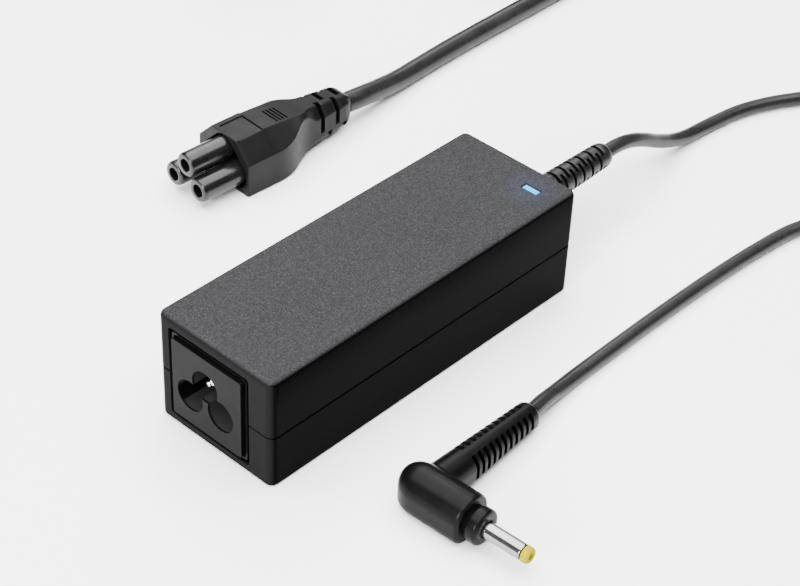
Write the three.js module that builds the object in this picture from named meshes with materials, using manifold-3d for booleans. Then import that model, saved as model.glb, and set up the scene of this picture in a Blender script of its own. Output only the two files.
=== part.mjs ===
// Laptop power adapter with its low-voltage cord and its detachable mains lead.
// Millimetres, +Z up. The brick stands on z = 0, its long side lies along X:
// the mains inlet is at -X, the low-voltage cord leaves at +X.
import * as THREE from 'three';
import { mergeVertices } from 'three/addons/utils/BufferGeometryUtils.js';
import Module from 'manifold-3d';

const wasm = await Module();
wasm.setup();

// ------------------------------------------------------------ driving dimensions
const L = 104, W = 37, H = 30.6;          // brick
const WALL = 2.0;                         // cover wall
const R_CORNER = 2.0;                     // upright corners
const R_TOP = 1.6, R_BOTTOM = 0.8;        // edge roundings
const Z_PART = 14.5;                      // parting line of the two covers
const GAP = 0.3;                          // play between neighbouring pieces

const INLET_Y = 1.76, INLET_Z = 15.0;     // centre of the mains inlet
const INLET_PROUD = 0.75;                 // front panel of the inlet in front of the cover
const PANEL_HY = 11.28, PANEL_HZ = 11.0;  // half sizes of the panel
const LEDGE = 0.9, OPENING_BORDER = 1.77; // ledge round the panel, opening in the covers
const PIN_PITCH = 10, PIN_RISE = 5.5;     // three-pin triangle: line-neutral pitch, earth above them
const LN_Z = 12.3, LOBE_Y = 2.2;          // height of line and neutral, middle of the triangle
const LOBE_R = 4.15, PIN_R = 1.2;         // recess lobes, pins
const RECESS_DEPTH = 15.25;
const PIN_TIP = { line: 5.2, neutral: 5.2, earth: 2.2 }; // tips behind the panel front; earth mates first

const RELIEF_Z = 15.3, RELIEF_END = 87.7; // strain relief at the brick
const LED_X = 44.1, LED_Y = -10.15;       // status light

const DC_D = 4.0, MAINS_D = 6.0;          // cord diameters
const DC_PLUG = [-31.9, -46.8, 2.5];      // x, y, turn in degrees
const C5 = [21.3, 75.8, -3.5];            // mains connector: front face, axis, turn in degrees
const DC_COIL = [168, -62];               // middles of the stored coils
const MAINS_COIL = [183, 112];

// ------------------------------------------------------------ helpers
const root = new THREE.Group();
root.name = 'laptop_power_adapter';
root.position.x = INLET_PROUD / 2;        // the origin is the middle of the brick with its inlet panel

function solid(geometry) {
  let g = geometry.index ? geometry.toNonIndexed() : geometry.clone();
  for (const key of Object.keys(g.attributes)) if (key !== 'position') g.deleteAttribute(key);
  g = mergeVertices(g, 1e-4);
  const p = g.attributes.position, idx = [];
  let vol = 0;
  for (let i = 0; i < g.index.count; i += 3) {
    const a = g.index.getX(i), b = g.index.getX(i + 1), c = g.index.getX(i + 2);
    if (a === b || b === c || c === a) continue;
    idx.push(a, b, c);
    const va = new THREE.Vector3().fromBufferAttribute(p, a);
    const vb = new THREE.Vector3().fromBufferAttribute(p, b);
    const vc = new THREE.Vector3().fromBufferAttribute(p, c);
    vol += va.dot(vb.cross(vc));
  }
  if (vol < 0) for (let i = 0; i < idx.length; i += 3) [idx[i + 1], idx[i + 2]] = [idx[i + 2], idx[i + 1]];
  return new wasm.Manifold(new wasm.Mesh({
    numProp: 3, vertProperties: new Float32Array(p.array), triVerts: new Uint32Array(idx),
  }));
}

function geometryOf(body) {
  const m = body.getMesh(), g = new THREE.BufferGeometry();
  const pos = new Float32Array(m.numVert * 3);
  for (let i = 0; i < m.numVert; i++) for (let k = 0; k < 3; k++) pos[3 * i + k] = m.vertProperties[i * m.numProp + k];
  g.setAttribute('position', new THREE.BufferAttribute(pos, 3));
  g.setIndex(Array.from(m.triVerts));
  g.computeVertexNormals();
  return g;
}

function add(parent, name, body, color, roughness = 0.55, metalness = 0) {
  const g = body.getMesh ? geometryOf(body) : body;
  const mesh = new THREE.Mesh(g, new THREE.MeshStandardMaterial({ color, roughness, metalness }));
  mesh.name = name;
  parent.add(mesh);
  return mesh;
}

const union = (...parts) => parts.reduce((a, b) => a.add(b));
const box = (x0, x1, y0, y1, z0, z1) =>
  solid(new THREE.BoxGeometry(x1 - x0, y1 - y0, z1 - z0).translate((x0 + x1) / 2, (y0 + y1) / 2, (z0 + z1) / 2));

function roundRect(u0, u1, v0, v1, r) {
  const s = new THREE.Shape();
  s.moveTo(u0 + r, v0);
  s.lineTo(u1 - r, v0); s.absarc(u1 - r, v0 + r, r, -Math.PI / 2, 0);
  s.lineTo(u1, v1 - r); s.absarc(u1 - r, v1 - r, r, 0, Math.PI / 2);
  s.lineTo(u0 + r, v1); s.absarc(u0 + r, v1 - r, r, Math.PI / 2, Math.PI);
  s.lineTo(u0, v0 + r); s.absarc(u0 + r, v0 + r, r, Math.PI, 1.5 * Math.PI);
  return s;
}
function polygon(points) {
  const s = new THREE.Shape();
  s.moveTo(points[0][0], points[0][1]);
  for (const [u, v] of points.slice(1)) s.lineTo(u, v);
  s.closePath();
  return s;
}
function circle(u, v, r) {
  const s = new THREE.Shape();
  s.absarc(u, v, r, 0, 2 * Math.PI);
  return s;
}
const extrude = (shape, depth, seg = 4) =>
  new THREE.ExtrudeGeometry(shape, { depth, bevelEnabled: false, curveSegments: seg });
// (u, v) of the outline become (y, z), (x, z) or (x, y)
const alongX = (shape, x0, x1, seg) => solid(extrude(shape, x1 - x0, seg).applyMatrix4(
  new THREE.Matrix4().makeBasis(new THREE.Vector3(0, 1, 0), new THREE.Vector3(0, 0, 1), new THREE.Vector3(1, 0, 0)))
  .translate(x0, 0, 0));
const alongY = (shape, y0, y1, seg) => solid(extrude(shape, y1 - y0, seg).applyMatrix4(
  new THREE.Matrix4().makeBasis(new THREE.Vector3(1, 0, 0), new THREE.Vector3(0, 0, 1), new THREE.Vector3(0, -1, 0)))
  .translate(0, y1, 0));
const alongZ = (shape, z0, z1, seg) => solid(extrude(shape, z1 - z0, seg).translate(0, 0, z0));

// turned piece: profile of [distance along the axis, radius], closed on the axis or on itself
function turned(profile, axis, at, seg = 16) {
  const pts = profile.map(([a, r]) => new THREE.Vector2(r, a));
  const g = new THREE.LatheGeometry(pts, seg);
  if (axis === 'x') g.rotateZ(-Math.PI / 2);
  if (axis === 'z') g.rotateX(Math.PI / 2);
  if (axis === '-y') g.rotateX(Math.PI);
  g.translate(at[0], at[1], at[2]);
  return solid(g);
}
// round cord or wire along a smooth route
function tube(points, d, steps, sides = 8) {
  const curve = new THREE.CatmullRomCurve3(points.map((p) => new THREE.Vector3(...p)), false, 'centripetal');
  const s = new THREE.Shape(Array.from({ length: sides }, (_, i) => {
    const a = (i + 0.5) / sides * 2 * Math.PI;
    return new THREE.Vector2(Math.cos(a) * d / 2, Math.sin(a) * d / 2);
  }));
  return solid(new THREE.ExtrudeGeometry(s, { steps, extrudePath: curve, bevelEnabled: false }));
}
// smallest convex outline round circles [u, v, r]
function hullOf(circles, seg = 16) {
  const pts = [];
  for (const [u, v, r] of circles) for (let i = 0; i < seg; i++) {
    const a = (i / seg) * 2 * Math.PI;
    pts.push([u + r * Math.cos(a), v + r * Math.sin(a)]);
  }
  pts.sort((a, b) => a[0] - b[0] || a[1] - b[1]);
  const cross = (o, a, b) => (a[0] - o[0]) * (b[1] - o[1]) - (a[1] - o[1]) * (b[0] - o[0]);
  const half = (list) => {
    const h = [];
    for (const p of list) { while (h.length > 1 && cross(h[h.length - 2], h[h.length - 1], p) <= 1e-9) h.pop(); h.push(p); }
    h.pop();
    return h;
  };
  return polygon([...half(pts), ...half([...pts].reverse())]);
}

// ------------------------------------------------------------ colours
const BLACK = 0x26262a, GREY = 0x5a5a5e, DARK = 0x2c2c2e;

// ------------------------------------------------------------ covers
function brick(r) {
  const g = new THREE.ExtrudeGeometry(roundRect(-L / 2, L / 2, -W / 2, W / 2, R_CORNER), {
    depth: H - 2 * r, bevelEnabled: true, bevelThickness: r, bevelSize: r, bevelOffset: -r, bevelSegments: 3, curveSegments: 4,
  });
  return solid(g.translate(0, 0, r));
}
const inset = (d, z0, z1) => alongZ(roundRect(-L / 2 + d, L / 2 - d, -W / 2 + d, W / 2 - d, Math.max(0.8, R_CORNER - d)), z0, z1, 2);
const cavity = inset(WALL, WALL, H - WALL);
const openingHY = PANEL_HY + OPENING_BORDER, openingHZ = PANEL_HZ + OPENING_BORDER;
const inletOpening = alongX(roundRect(INLET_Y - openingHY, INLET_Y + openingHY, INLET_Z - openingHZ, INLET_Z + openingHZ, 1), -L / 2 - 3, -L / 2 + 6, 2);
const reliefHole = alongX(circle(0, RELIEF_Z, 3.5), L / 2 - 4.5, L / 2 + 3, 8);
const reliefRoom = box(L / 2 - 6, L / 2 - WALL, -6.5, 6.5, 8, 22);
const ledWindow = box(LED_X - 1.2, LED_X + 1.2, LED_Y - 2.6, LED_Y + 2.6, H - 4, H + 2);

const topCover = brick(R_TOP).intersect(box(-60, 60, -30, 30, Z_PART + GAP / 2, 40))
  .subtract(cavity).subtract(inletOpening).subtract(reliefHole).subtract(ledWindow);

const lip = inset(WALL - 0.1, 12, Z_PART - GAP / 2).subtract(inset(3.3, 11, 20))
  .add(inset(WALL + GAP, 14.2, 16.3).subtract(inset(3.3, 11, 20)))
  .subtract(box(-60, -46, -17, 17, 8, 20)).subtract(reliefRoom);
const bosses = [[-28, -10.8], [-28, 10.8], [42, -10.8], [42, 10.8]].map(([x, y]) => alongZ(circle(x, y, 2.2), 1.5, 4.3, 6));
const bottomCover = union(brick(R_BOTTOM).intersect(box(-60, 60, -30, 30, -5, Z_PART - GAP / 2)).subtract(cavity), lip, ...bosses)
  .subtract(inletOpening).subtract(reliefHole);

add(root, 'top_cover', topCover, GREY, 0.7);
add(root, 'bottom_cover', bottomCover, DARK, 0.45);

// ------------------------------------------------------------ mains inlet
const F = -L / 2 - INLET_PROUD;           // front of the inlet panel
const BACK = F + RECESS_DEPTH;            // floor of the recess
const lobes = [
  ['line', LOBE_Y + PIN_PITCH / 2, LN_Z], ['neutral', LOBE_Y - PIN_PITCH / 2, LN_Z], ['earth', LOBE_Y, LN_Z + PIN_RISE],
];
let inlet = union(
  alongX(roundRect(INLET_Y - PANEL_HY, INLET_Y + PANEL_HY, INLET_Z - PANEL_HZ, INLET_Z + PANEL_HZ, 0.6), F, BACK + 2.5, 2),
  alongX(roundRect(INLET_Y - PANEL_HY - LEDGE, INLET_Y + PANEL_HY + LEDGE, INLET_Z - PANEL_HZ - LEDGE, INLET_Z + PANEL_HZ + LEDGE, 0.8), -L / 2 + 0.3, -L / 2 + 3, 2),
  box(-L / 2 + WALL + GAP, -L / 2 + WALL + 1.8, INLET_Y - 14.3, INLET_Y + 14.3, INLET_Z - 12.7, INLET_Z + 12.7),
);
for (const [, y, z] of lobes) {
  inlet = inlet.subtract(alongX(circle(y, z, LOBE_R), F - 2, BACK, 12)).subtract(alongX(circle(y, z, PIN_R + GAP), BACK - 1, BACK + 5, 6));
}
add(root, 'inlet_housing', inlet, 0x37373a, 0.5);
for (const [name, y, z] of lobes) {
  add(root, `inlet_pin_${name}`, turned([[F + PIN_TIP[name], 0], [F + PIN_TIP[name], 0.7], [F + PIN_TIP[name] + 0.6, PIN_R], [BACK + 5.2, PIN_R], [BACK + 5.2, 0]], 'x', [0, y, z], 12), 0xc9c9cc, 0.25, 1);
}
const PT = BACK + 5.2 + GAP;              // tails of the pins end here
const wire = (name, pts, color) => add(root, name, tube(pts, 1.6, 10), color, 0.6);
wire('inlet_wire_line', [[PT, lobes[0][1], LN_Z], [PT + 1.6, 7.3, 12.0], [PT + 3.2, 7.6, 9.6], [PT + 3.4, 7.7, 6.6]], 0x6b3a1e);
wire('inlet_wire_neutral', [[PT, lobes[1][1], LN_Z], [PT + 1.6, -2.8, 12.0], [PT + 3.2, -2.8, 9.6], [PT + 3.4, -2.8, 6.6]], 0x2b57a8);
wire('inlet_wire_earth', [[PT, LOBE_Y, LN_Z + PIN_RISE], [PT + 1.5, LOBE_Y, 17.2], [PT + 2.7, 2.3, 13], [PT + 2.9, 2.3, 6.6]], 0x4d9a3b);

// ------------------------------------------------------------ status light
add(root, 'led_light_guide', union(
  box(LED_X - 0.9, LED_X + 0.9, LED_Y - 2.3, LED_Y + 2.3, 27.5, H - 0.25),
  box(LED_X - 1.9, LED_X + 1.9, LED_Y - 3.2, LED_Y + 3.2, 27.3, H - WALL - GAP)), 0xa8e0ff, 0.25);
add(root, 'status_led', union(
  box(LED_X - 1.0, LED_X + 1.0, LED_Y - 2.4, LED_Y + 2.4, 20, 27.0),
  box(LED_X - 0.3, LED_X + 0.3, LED_Y - 1.6, LED_Y - 1.0, 6.5, 20.5),
  box(LED_X - 0.3, LED_X + 0.3, LED_Y + 1.0, LED_Y + 1.6, 6.5, 20.5)), 0xd8ecff, 0.3);

// ------------------------------------------------------------ electronics
add(root, 'insulating_sheet', box(-24, 38, -14, 14, 2.3, 2.7), 0xe8e2cf, 0.8);
add(root, 'circuit_board', box(-34.3, 47.5, -14, 14, 4.6, 6.2), 0x2f6b3f, 0.6);
const T = 6.5;                            // parts stand on the board from here
add(root, 'mains_fuse', turned([[-26, 0], [-26, 1.9], [-16, 1.9], [-16, 0]], 'x', [0, 11.4, 8.9], 12), 0xd9d2c0, 0.3);
add(root, 'x_capacitor', box(-26, -14, 1.2, 7, T, 18), 0xd8b52a, 0.5);
add(root, 'common_mode_choke', solid(new THREE.TorusGeometry(4.6, 2.4, 8, 16).rotateY(Math.PI / 2).translate(-21.8, -7, 13.6)), 0x8a4a22, 0.5, 0.4);
add(root, 'y_capacitor', turned([[-17, 0], [-17, 3.2], [-16.4, 4], [-14.6, 4], [-14, 3.2], [-14, 0]], 'x', [0, -8, 10.6], 14), 0x2f5fa5, 0.5);
add(root, 'bridge_rectifier', box(-12.5, -9, -9, 9, T, 17.5), 0x1c1c1e, 0.5);
add(root, 'bulk_capacitor', turned([[-7.5, 0], [-7.5, 7.4], [-6.9, 8], [13.8, 8], [14.4, 7.4], [14.4, 0]], 'x', [0, -5.8, 14.6], 20), 0x20242c, 0.4);
const legs = (x, dx, y, z) => [-1, 0, 1].map((i) => box(x + i * dx - 0.35, x + i * dx + 0.35, y - 0.35, y + 0.35, T, z));
add(root, 'switching_transistor', union(box(-4, 6, 7.9, 12.3, 9.5, 24), ...legs(1, 2.5, 9.6, 10)), 0x1a1a1c, 0.5);
add(root, 'primary_heatsink', box(-7, 14.4, 12.6, 13.9, T, 25), 0xb9bcc0, 0.4, 1);
add(root, 'optocoupler', box(8, 14, 3.2, 7.4, T, 10), 0xe6e6e0, 0.6);
add(root, 'controller_chip', box(2, 7, -2, 2, 3.0, 4.3), 0x151517, 0.5);
// transformer: pot of two joined E halves, bobbin round the middle leg, winding on the bobbin
const TX = 25.7;
add(root, 'transformer_core', box(TX - 3.5, TX + 3.5, -12.5, 12.5, 8.3, 25.3)
  .subtract(box(TX - 5, TX + 5, 3.4, 9.1, 11.5, 22.1)).subtract(box(TX - 5, TX + 5, -9.1, -3.4, 11.5, 22.1)), 0x3a3a3c, 0.7);
add(root, 'transformer_bobbin', union(
  box(TX - 9.2, TX + 9.2, -8.7, 8.7, 11.8, 12.7), box(TX - 9.2, TX + 9.2, -8.7, 8.7, 20.9, 21.8), box(TX - 4.7, TX + 4.7, -4.6, 4.6, 12, 21.5),
  ...[-1, 1].flatMap((i) => [-1, 1].map((j) => box(TX + i * 7 - 0.4, TX + i * 7 + 0.4, j * 7 - 0.4, j * 7 + 0.4, T, 12))))
  .subtract(box(TX - 3.8, TX + 3.8, -3.7, 3.7, 10, 24)), 0x222224, 0.6);
add(root, 'transformer_winding', box(TX - 8.6, TX + 8.6, -8.3, 8.3, 13, 20.6).subtract(box(TX - 5, TX + 5, -4.9, 4.9, 12, 22)), 0xe3c53a, 0.6);
add(root, 'secondary_heatsink', box(35.9, 37.1, -13.8, -3, T, 24.5), 0xb9bcc0, 0.4, 1);
add(root, 'output_rectifier', union(box(37.5, 41.7, -13, -3.4, 9.5, 23),
  ...[-1, 0, 1].map((i) => box(39, 39.7, -8.2 + i * 2.5 - 0.35, -8.2 + i * 2.5 + 0.35, T, 10))), 0x1a1a1c, 0.5);
for (const [name, y] of [['output_capacitor_a', 2.2], ['output_capacitor_b', 10.2]]) {
  add(root, name, turned([[T, 0], [T, 3.5], [18.6, 3.5], [19, 3.1], [19, 0]], 'z', [41, y, 0], 14), 0x233a6b, 0.4);
}
wire('output_wire_positive', [[46, 1.7, 6.6], [46, 1.7, 11], [46.3, 1.7, 14.3], [L / 2 - 4.5, 1.7, RELIEF_Z]], 0xb2201c);
wire('output_wire_negative', [[46, -1.7, 6.6], [46, -1.7, 11], [46.3, -1.7, 14.3], [L / 2 - 4.5, -1.7, RELIEF_Z]], 0x161616);
add(root, 'screening_plate', box(-30, 47.5, -14.9, 14.9, 7.6, 26.5).subtract(box(-31, 49, -14.5, 14.5, 5, 26.1))
  .subtract(box(LED_X - 2.2, LED_X + 2.2, LED_Y - 3.6, LED_Y + 3.6, 25, 28)), 0xc7a27a, 0.35, 1);

// ------------------------------------------------------------ strain relief of the low-voltage cord
const rings = [];
for (let i = 0; i < 7; i++) {
  const a = L / 2 + 5.2 + i * 4.2, r = 4.1 - 0.09 * i;
  rings.push([a, r], [a + 0.1, r - 0.7], [a + 1.0, r - 0.72], [a + 1.1, r - 0.02]);
}
add(root, 'dc_strain_relief', turned([
  [L / 2 - 3.8, 0], [L / 2 - 3.8, 5.2], [L / 2 - WALL - GAP, 5.2], [L / 2 - WALL - GAP, 3.2], [L / 2 + GAP, 3.2],
  [L / 2 + GAP, 4.4], [L / 2 + 1.8, 4.3], [L / 2 + 2.2, 4.15], ...rings,
  [RELIEF_END - 1.2, 3.45], [RELIEF_END - 0.3, 3.1], [RELIEF_END, 2.4], [RELIEF_END, 0]], 'x', [0, 0, RELIEF_Z], 16), BLACK, 0.6);

// ------------------------------------------------------------ low-voltage plug, right-angled
const dcPlug = new THREE.Group();
dcPlug.position.set(DC_PLUG[0], DC_PLUG[1], 0);
dcPlug.rotation.z = THREE.MathUtils.degToRad(DC_PLUG[2]);
root.add(dcPlug);
const BZ = 5.2;                           // height of the barrel axis
const headOutline = new THREE.Shape();
headOutline.moveTo(-2.4, 0.05); headOutline.lineTo(2.4, 0.05);
headOutline.absarc(2.4, 3.15, 3.1, -Math.PI / 2, 0); headOutline.lineTo(5.5, 5.9);
headOutline.absarc(0, 5.9, 5.5, 0, Math.PI); headOutline.lineTo(-5.5, 3.15);
headOutline.absarc(-2.4, 3.15, 3.1, Math.PI, 1.49 * Math.PI);
headOutline.closePath();
const headPlan = new THREE.Shape();
headPlan.moveTo(-5.5, -13.2); headPlan.lineTo(5.5, -13.2); headPlan.lineTo(5.5, 2.5);
headPlan.absellipse(0, 2.5, 5.5, 3.8, 0, Math.PI);
let dcShell = alongY(headOutline, -14, 8, 5).intersect(alongZ(headPlan, -1, 14, 6));
const bootSide = polygon([[2, 0.3], [22, 0.5], [38, 0.9], [38, 7.0], [22, 8.6], [2, 9.6]]);
const bootPlan = polygon([[2, -4.5], [12, -4.2], [38, -3.1], [38, 3.1], [12, 4.2], [2, 4.5]]);
const bootSection = polygon([[-2.6, 0.3], [2.6, 0.3], [4.5, 2.6], [4.5, 7.0], [2.4, 9.6], [-2.4, 9.6], [-4.5, 7.0], [-4.5, 2.6]]);
let boot = alongY(bootSide, -6, 6).intersect(alongZ(bootPlan, -1, 12)).intersect(alongX(bootSection, 1, 39));
for (let i = 0; i < 8; i++) for (const s of [-1, 1]) {
  const x = 14.5 + i * 2.6;
  boot = boot.subtract(box(x, x + 1.0, s > 0 ? 2.3 : -6, s > 0 ? 6 : -2.3, 1.6, 6.6));
}
dcShell = dcShell.add(boot);
add(dcPlug, 'dc_plug_shell', dcShell, BLACK, 0.5);
add(dcPlug, 'dc_plug_collar', turned([[13.5, 0], [13.5, 4.0], [14.4, 4.0], [14.5, 4.4], [16.6, 4.4], [17.0, 4.0], [17.0, 0]], '-y', [0, 0, BZ], 16), BLACK, 0.5);
add(dcPlug, 'dc_plug_barrel', turned([[17.3, 0], [17.3, 2.0], [27.2, 2.0], [27.4, 1.85], [27.4, 1.45], [17.9, 1.45], [17.9, 0]], '-y', [0, 0, BZ], 16), 0xd9dadd, 0.12, 1);
add(dcPlug, 'dc_plug_inner_contact', turned([[18.3, 0], [18.3, 0.55], [28.4, 0.55], [28.4, 0.32], [19.5, 0.32], [19.5, 0]], '-y', [0, 0, BZ], 10), 0xc8a24a, 0.25, 1);
add(dcPlug, 'dc_plug_tip', turned([[24, 0.85], [24, 1.15], [27.7, 1.15], [27.7, 2.0], [28.9, 1.98], [29.4, 1.6], [29.4, 0.85], [24, 0.85]], '-y', [0, 0, BZ], 16), 0xe6e04a, 0.4);

// ------------------------------------------------------------ low-voltage cord
const Z_DC = DC_D / 2 + 0.05;
const relFrom = (g, x, y, z) => g.localToWorld(new THREE.Vector3(x, y, z)).sub(root.position).toArray();
root.updateMatrixWorld(true);
const bootEnd = relFrom(dcPlug, 38.3, 0, 3.95);
const DC_NEAR = [
  [RELIEF_END + GAP, 0, RELIEF_Z], [93.5, 0, 15.1], [99, 0, 13.9], [105, 0, 11.4], [112, 0, 7.7], [119, 0, 4.6],
  [126, -0.1, 2.7], [133, -0.3, Z_DC], [147.1, -2.3, Z_DC], [155.3, -5.0, Z_DC], [163, -8.8, Z_DC], [170.3, -13.6, Z_DC], [176.7, -19.3, Z_DC],
  [182.5, -25.9, Z_DC], [187.2, -33, Z_DC], [189.9, -38.0, Z_DC],
];
const DC_FAR = [
  bootEnd, [11, -44.4, 3.5], [17, -43.6, 2.5], [24, -43.1, Z_DC], [40, -42.9, Z_DC], [60, -42.9, Z_DC], [80, -43.3, Z_DC],
  [100, -44.3, Z_DC], [114, -45.4, Z_DC], [122, -46.4, Z_DC], [130, -48.5, Z_DC], [136.2, -53.0, Z_DC + 0.6],
];
add(root, 'dc_cord_brick_end', tube(DC_NEAR, DC_D, 16), BLACK, 0.5);
add(root, 'dc_cord_plug_end', tube(DC_FAR, DC_D, 16), BLACK, 0.5);

// stored length of a cord: a flat ring of turns, with a tie round it
function coil(name, at, r0, r1, h, tieAngle, tieWidth, color) {
  const ring = turned([[0.05, r0 + 0.8], [0.05, r1 - 0.8], [0.9, r1], [h - 0.9, r1], [h, r1 - 0.8], [h, r0 + 0.8], [h - 0.9, r0], [0.9, r0], [0.05, r0 + 0.8]], 'z', [at[0], at[1], 0], 32);
  const place = (b) => b.rotate([0, 0, tieAngle]).translate([at[0], at[1], 0]);
  const w = tieWidth / 2;
  const cut = place(box(r0 - 3, r1 + 3, -w - GAP, w + GAP, -1, 1.25));
  const tie = place(box(r0 - 1.7, r1 + 1.2, -w, w, 0.1, h + 1.8).subtract(box(r0 - 0.9, r1 + 0.4, -w - 1, w + 1, 0.95, h + 0.95)));
  add(root, name, ring.subtract(cut), color, 0.5);
  add(root, `${name}_tie`, tie, 0x1b1b1c, 0.7);
}
coil('dc_coil', DC_COIL, 17.9, 30.1, 8.2, -60, 7, BLACK);

// ------------------------------------------------------------ mains connector
const c5 = new THREE.Group();
c5.position.set(C5[0], C5[1], 0);
c5.rotation.z = THREE.MathUtils.degToRad(C5[2]);
root.add(c5);
const CZ = 5.6;                           // height of the line and neutral tubes
const seats = [['line', PIN_PITCH / 2, CZ], ['neutral', -PIN_PITCH / 2, CZ], ['earth', 0, CZ + PIN_RISE]];
let insert = union(
  ...seats.map(([, y, z]) => turned([[-13, 0], [-13, 3.0], [-12.5, 3.45], [3.6, 3.45], [3.6, 0]], 'x', [0, y, z], 20)),
  alongX(polygon([[-4, CZ - 1], [4, CZ - 1], [2.4, CZ + 5], [-2.4, CZ + 5]]), -11.8, 3.6));
for (const [, y, z] of seats) insert = insert.subtract(alongX(circle(y, z, 1.75), -14, 0, 7));
add(c5, 'connector_insert', insert, 0x3c3c40, 0.45);
for (const [name, y, z] of seats) {
  add(c5, `connector_contact_${name}`, turned([[-11, 1.0], [-11, 1.4], [-0.4, 1.4], [-0.4, 1.0], [-11, 1.0]], 'x', [0, y, z], 10), 0xc8a24a, 0.3, 1);
}
const house = polygon([[-10.3, 0.05], [10.3, 0.05], [10.3, 10.2], [4.95, 15.6], [-4.95, 15.6], [-10.3, 10.2]]);
const plan = polygon([[0, -10.3], [12.5, -10.3], [17, -9.5], [20.5, -7.6], [23.5, -6.1], [27, -5.5], [29, -5.4], [29, 5.4], [27, 5.5], [23.5, 6.1], [20.5, 7.6], [17, 9.5], [12.5, 10.3], [0, 10.3]]);
const side = polygon([[0, 0.05], [17, 0.05], [23, 0.9], [29, 1.4], [29, 13.2], [22, 14.2], [14, 15.2], [9.6, 15.6], [0, 15.6]]);
let overmould = alongX(house, 0, 29).intersect(alongZ(plan, -1, 20)).intersect(alongY(side, -12, 12));
const tailOutline = polygon([[-3, 1.4], [3, 1.4], [5.3, 3.7], [5.3, 9.6], [3.2, 13.2], [-3.2, 13.2], [-5.3, 9.6], [-5.3, 3.7]]);
const tailPlan = polygon([[24, -5.4], [29, -5.4], [41, -4.5], [43.2, -3.4], [43.2, 3.4], [41, 4.5], [29, 5.4], [24, 5.4]]);
const tailSide = polygon([[24, 1.0], [41, 2.2], [43.2, 3.2], [43.2, 10.2], [41, 11.6], [24, 13.6]]);
overmould = overmould.add(alongX(tailOutline, 26, 44).intersect(alongZ(tailPlan, -1, 20)).intersect(alongY(tailSide, -12, 12)));
overmould = overmould.subtract(alongX(hullOf([[5, CZ, 4.5], [-5, CZ, 4.5], [0, CZ + PIN_RISE, 4.2]]), -2, 3.9));
for (const [x, sides] of [[30.2, 1], [33.4, 0], [36.6, 1], [39.6, 0]]) {
  if (sides) for (const s of [-1, 1]) overmould = overmould.subtract(box(x, x + 1.2, s > 0 ? 3.1 : -7, s > 0 ? 7 : -3.1, 2.5, 11));
  else for (const [z0, z1] of [[0, 3.4], [10.2, 16]]) overmould = overmould.subtract(box(x, x + 1.2, -3.6, 3.6, z0, z1));
}
add(c5, 'connector_overmould', overmould, 0x3f3f42, 0.5);

// ------------------------------------------------------------ mains cord
root.updateMatrixWorld(true);
const Z_M = MAINS_D / 2 + 0.05;
const c5End = relFrom(c5, 43.5, 0, 6.6);
const MAINS_NEAR = [
  c5End, [70.5, 72.9, 6.2], [78, 73.4, 5.0], [87, 74.3, 3.6], [97, 75.2, Z_M], [112, 75.8, Z_M], [130, 76.0, Z_M], [146, 76.0, Z_M], [MAINS_COIL[0] - 22.4, 76, Z_M],
];
add(root, 'mains_cord', tube(MAINS_NEAR, MAINS_D, 10, 10), BLACK, 0.5);
coil('mains_coil', MAINS_COIL, 26.9, 39.1, 12.2, 20, 8, BLACK);

// ------------------------------------------------------------ wall plug, lying beside the coil
const PLUG_TURN = 175;                    // way the blades point, degrees
const plug = new THREE.Group();
const turn = THREE.MathUtils.degToRad(PLUG_TURN);
const leave = turn - Math.PI / 2;         // place on the coil where the cord leaves it
const start = [MAINS_COIL[0] + 36 * Math.cos(leave), MAINS_COIL[1] + 36 * Math.sin(leave)];
plug.position.set(start[0] + 36 * Math.cos(turn), start[1] + 36 * Math.sin(turn), 0);
plug.rotation.z = turn;
root.add(plug);
const PZ = 13.1;                          // middle of the plug body above the floor
const plugPlan = polygon([[0, -5.2], [21, -6.6], [25, -8.5], [29, -12.2], [33, -13.4], [46, -13.4], [47, -12.6], [47, 12.6], [46, 13.4], [33, 13.4], [29, 12.2], [25, 8.5], [21, 6.6], [0, 5.2]]);
const plugSide = polygon([[0, PZ - 5.2], [21, PZ - 6.6], [25, PZ - 8.5], [29, PZ - 12], [33, 0.05], [46, 0.05], [47, 0.8], [47, 2 * PZ - 0.8], [46, 2 * PZ - 0.05], [33, 2 * PZ - 0.05], [29, PZ + 12], [25, PZ + 8.5], [21, PZ + 6.6], [0, PZ + 5.2]]);
const plugSection = polygon([[-8.5, 0.05], [8.5, 0.05], [13.4, 5], [13.4, 21.2], [8.5, 2 * PZ - 0.05], [-8.5, 2 * PZ - 0.05], [-13.4, 21.2], [-13.4, 5]]);
let plugBody = alongX(plugSection, -1, 48).intersect(alongZ(plugPlan, -1, 30)).intersect(alongY(plugSide, -15, 15));
for (const [x, s] of [[3, 0], [6.5, 1], [10, 0], [13.5, 1]]) {
  if (s) for (const d of [-1, 1]) plugBody = plugBody.subtract(box(x, x + 1.3, d > 0 ? 3.6 : -8, d > 0 ? 8 : -3.6, PZ - 4, PZ + 4));
  else for (const d of [-1, 1]) plugBody = plugBody.subtract(box(x, x + 1.3, -4, 4, d > 0 ? PZ + 3.6 : PZ - 9, d > 0 ? PZ + 9 : PZ - 3.6));
}
plugBody = plugBody.subtract(box(44, 50, -11.2, 11.2, PZ - 11.2, PZ + 11.2));
add(plug, 'wall_plug_body', plugBody, BLACK, 0.5);
const BL = PZ + 3.4, GP = PZ - 8.2;       // heights of the blades and of the earth pin
let face = box(45, 47.3, -10.9, 10.9, PZ - 10.9, PZ + 10.9);
for (const s of [-1, 1]) face = face.subtract(box(44, 49, s * 6.35 - 1.1, s * 6.35 + 1.1, BL - 4.4, BL + 4.4));
face = face.subtract(alongX(circle(0, GP, 2.7), 44, 49, 6));
add(plug, 'wall_plug_face', face, 0x303033, 0.5);
const blade = (hz) => alongY(polygon([[44.3, BL - hz], [61.5, BL - hz], [63.6, BL - hz + 1.6], [63.6, BL + hz - 1.6], [61.5, BL + hz], [44.3, BL + hz]]), -0.75, 0.75);
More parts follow.
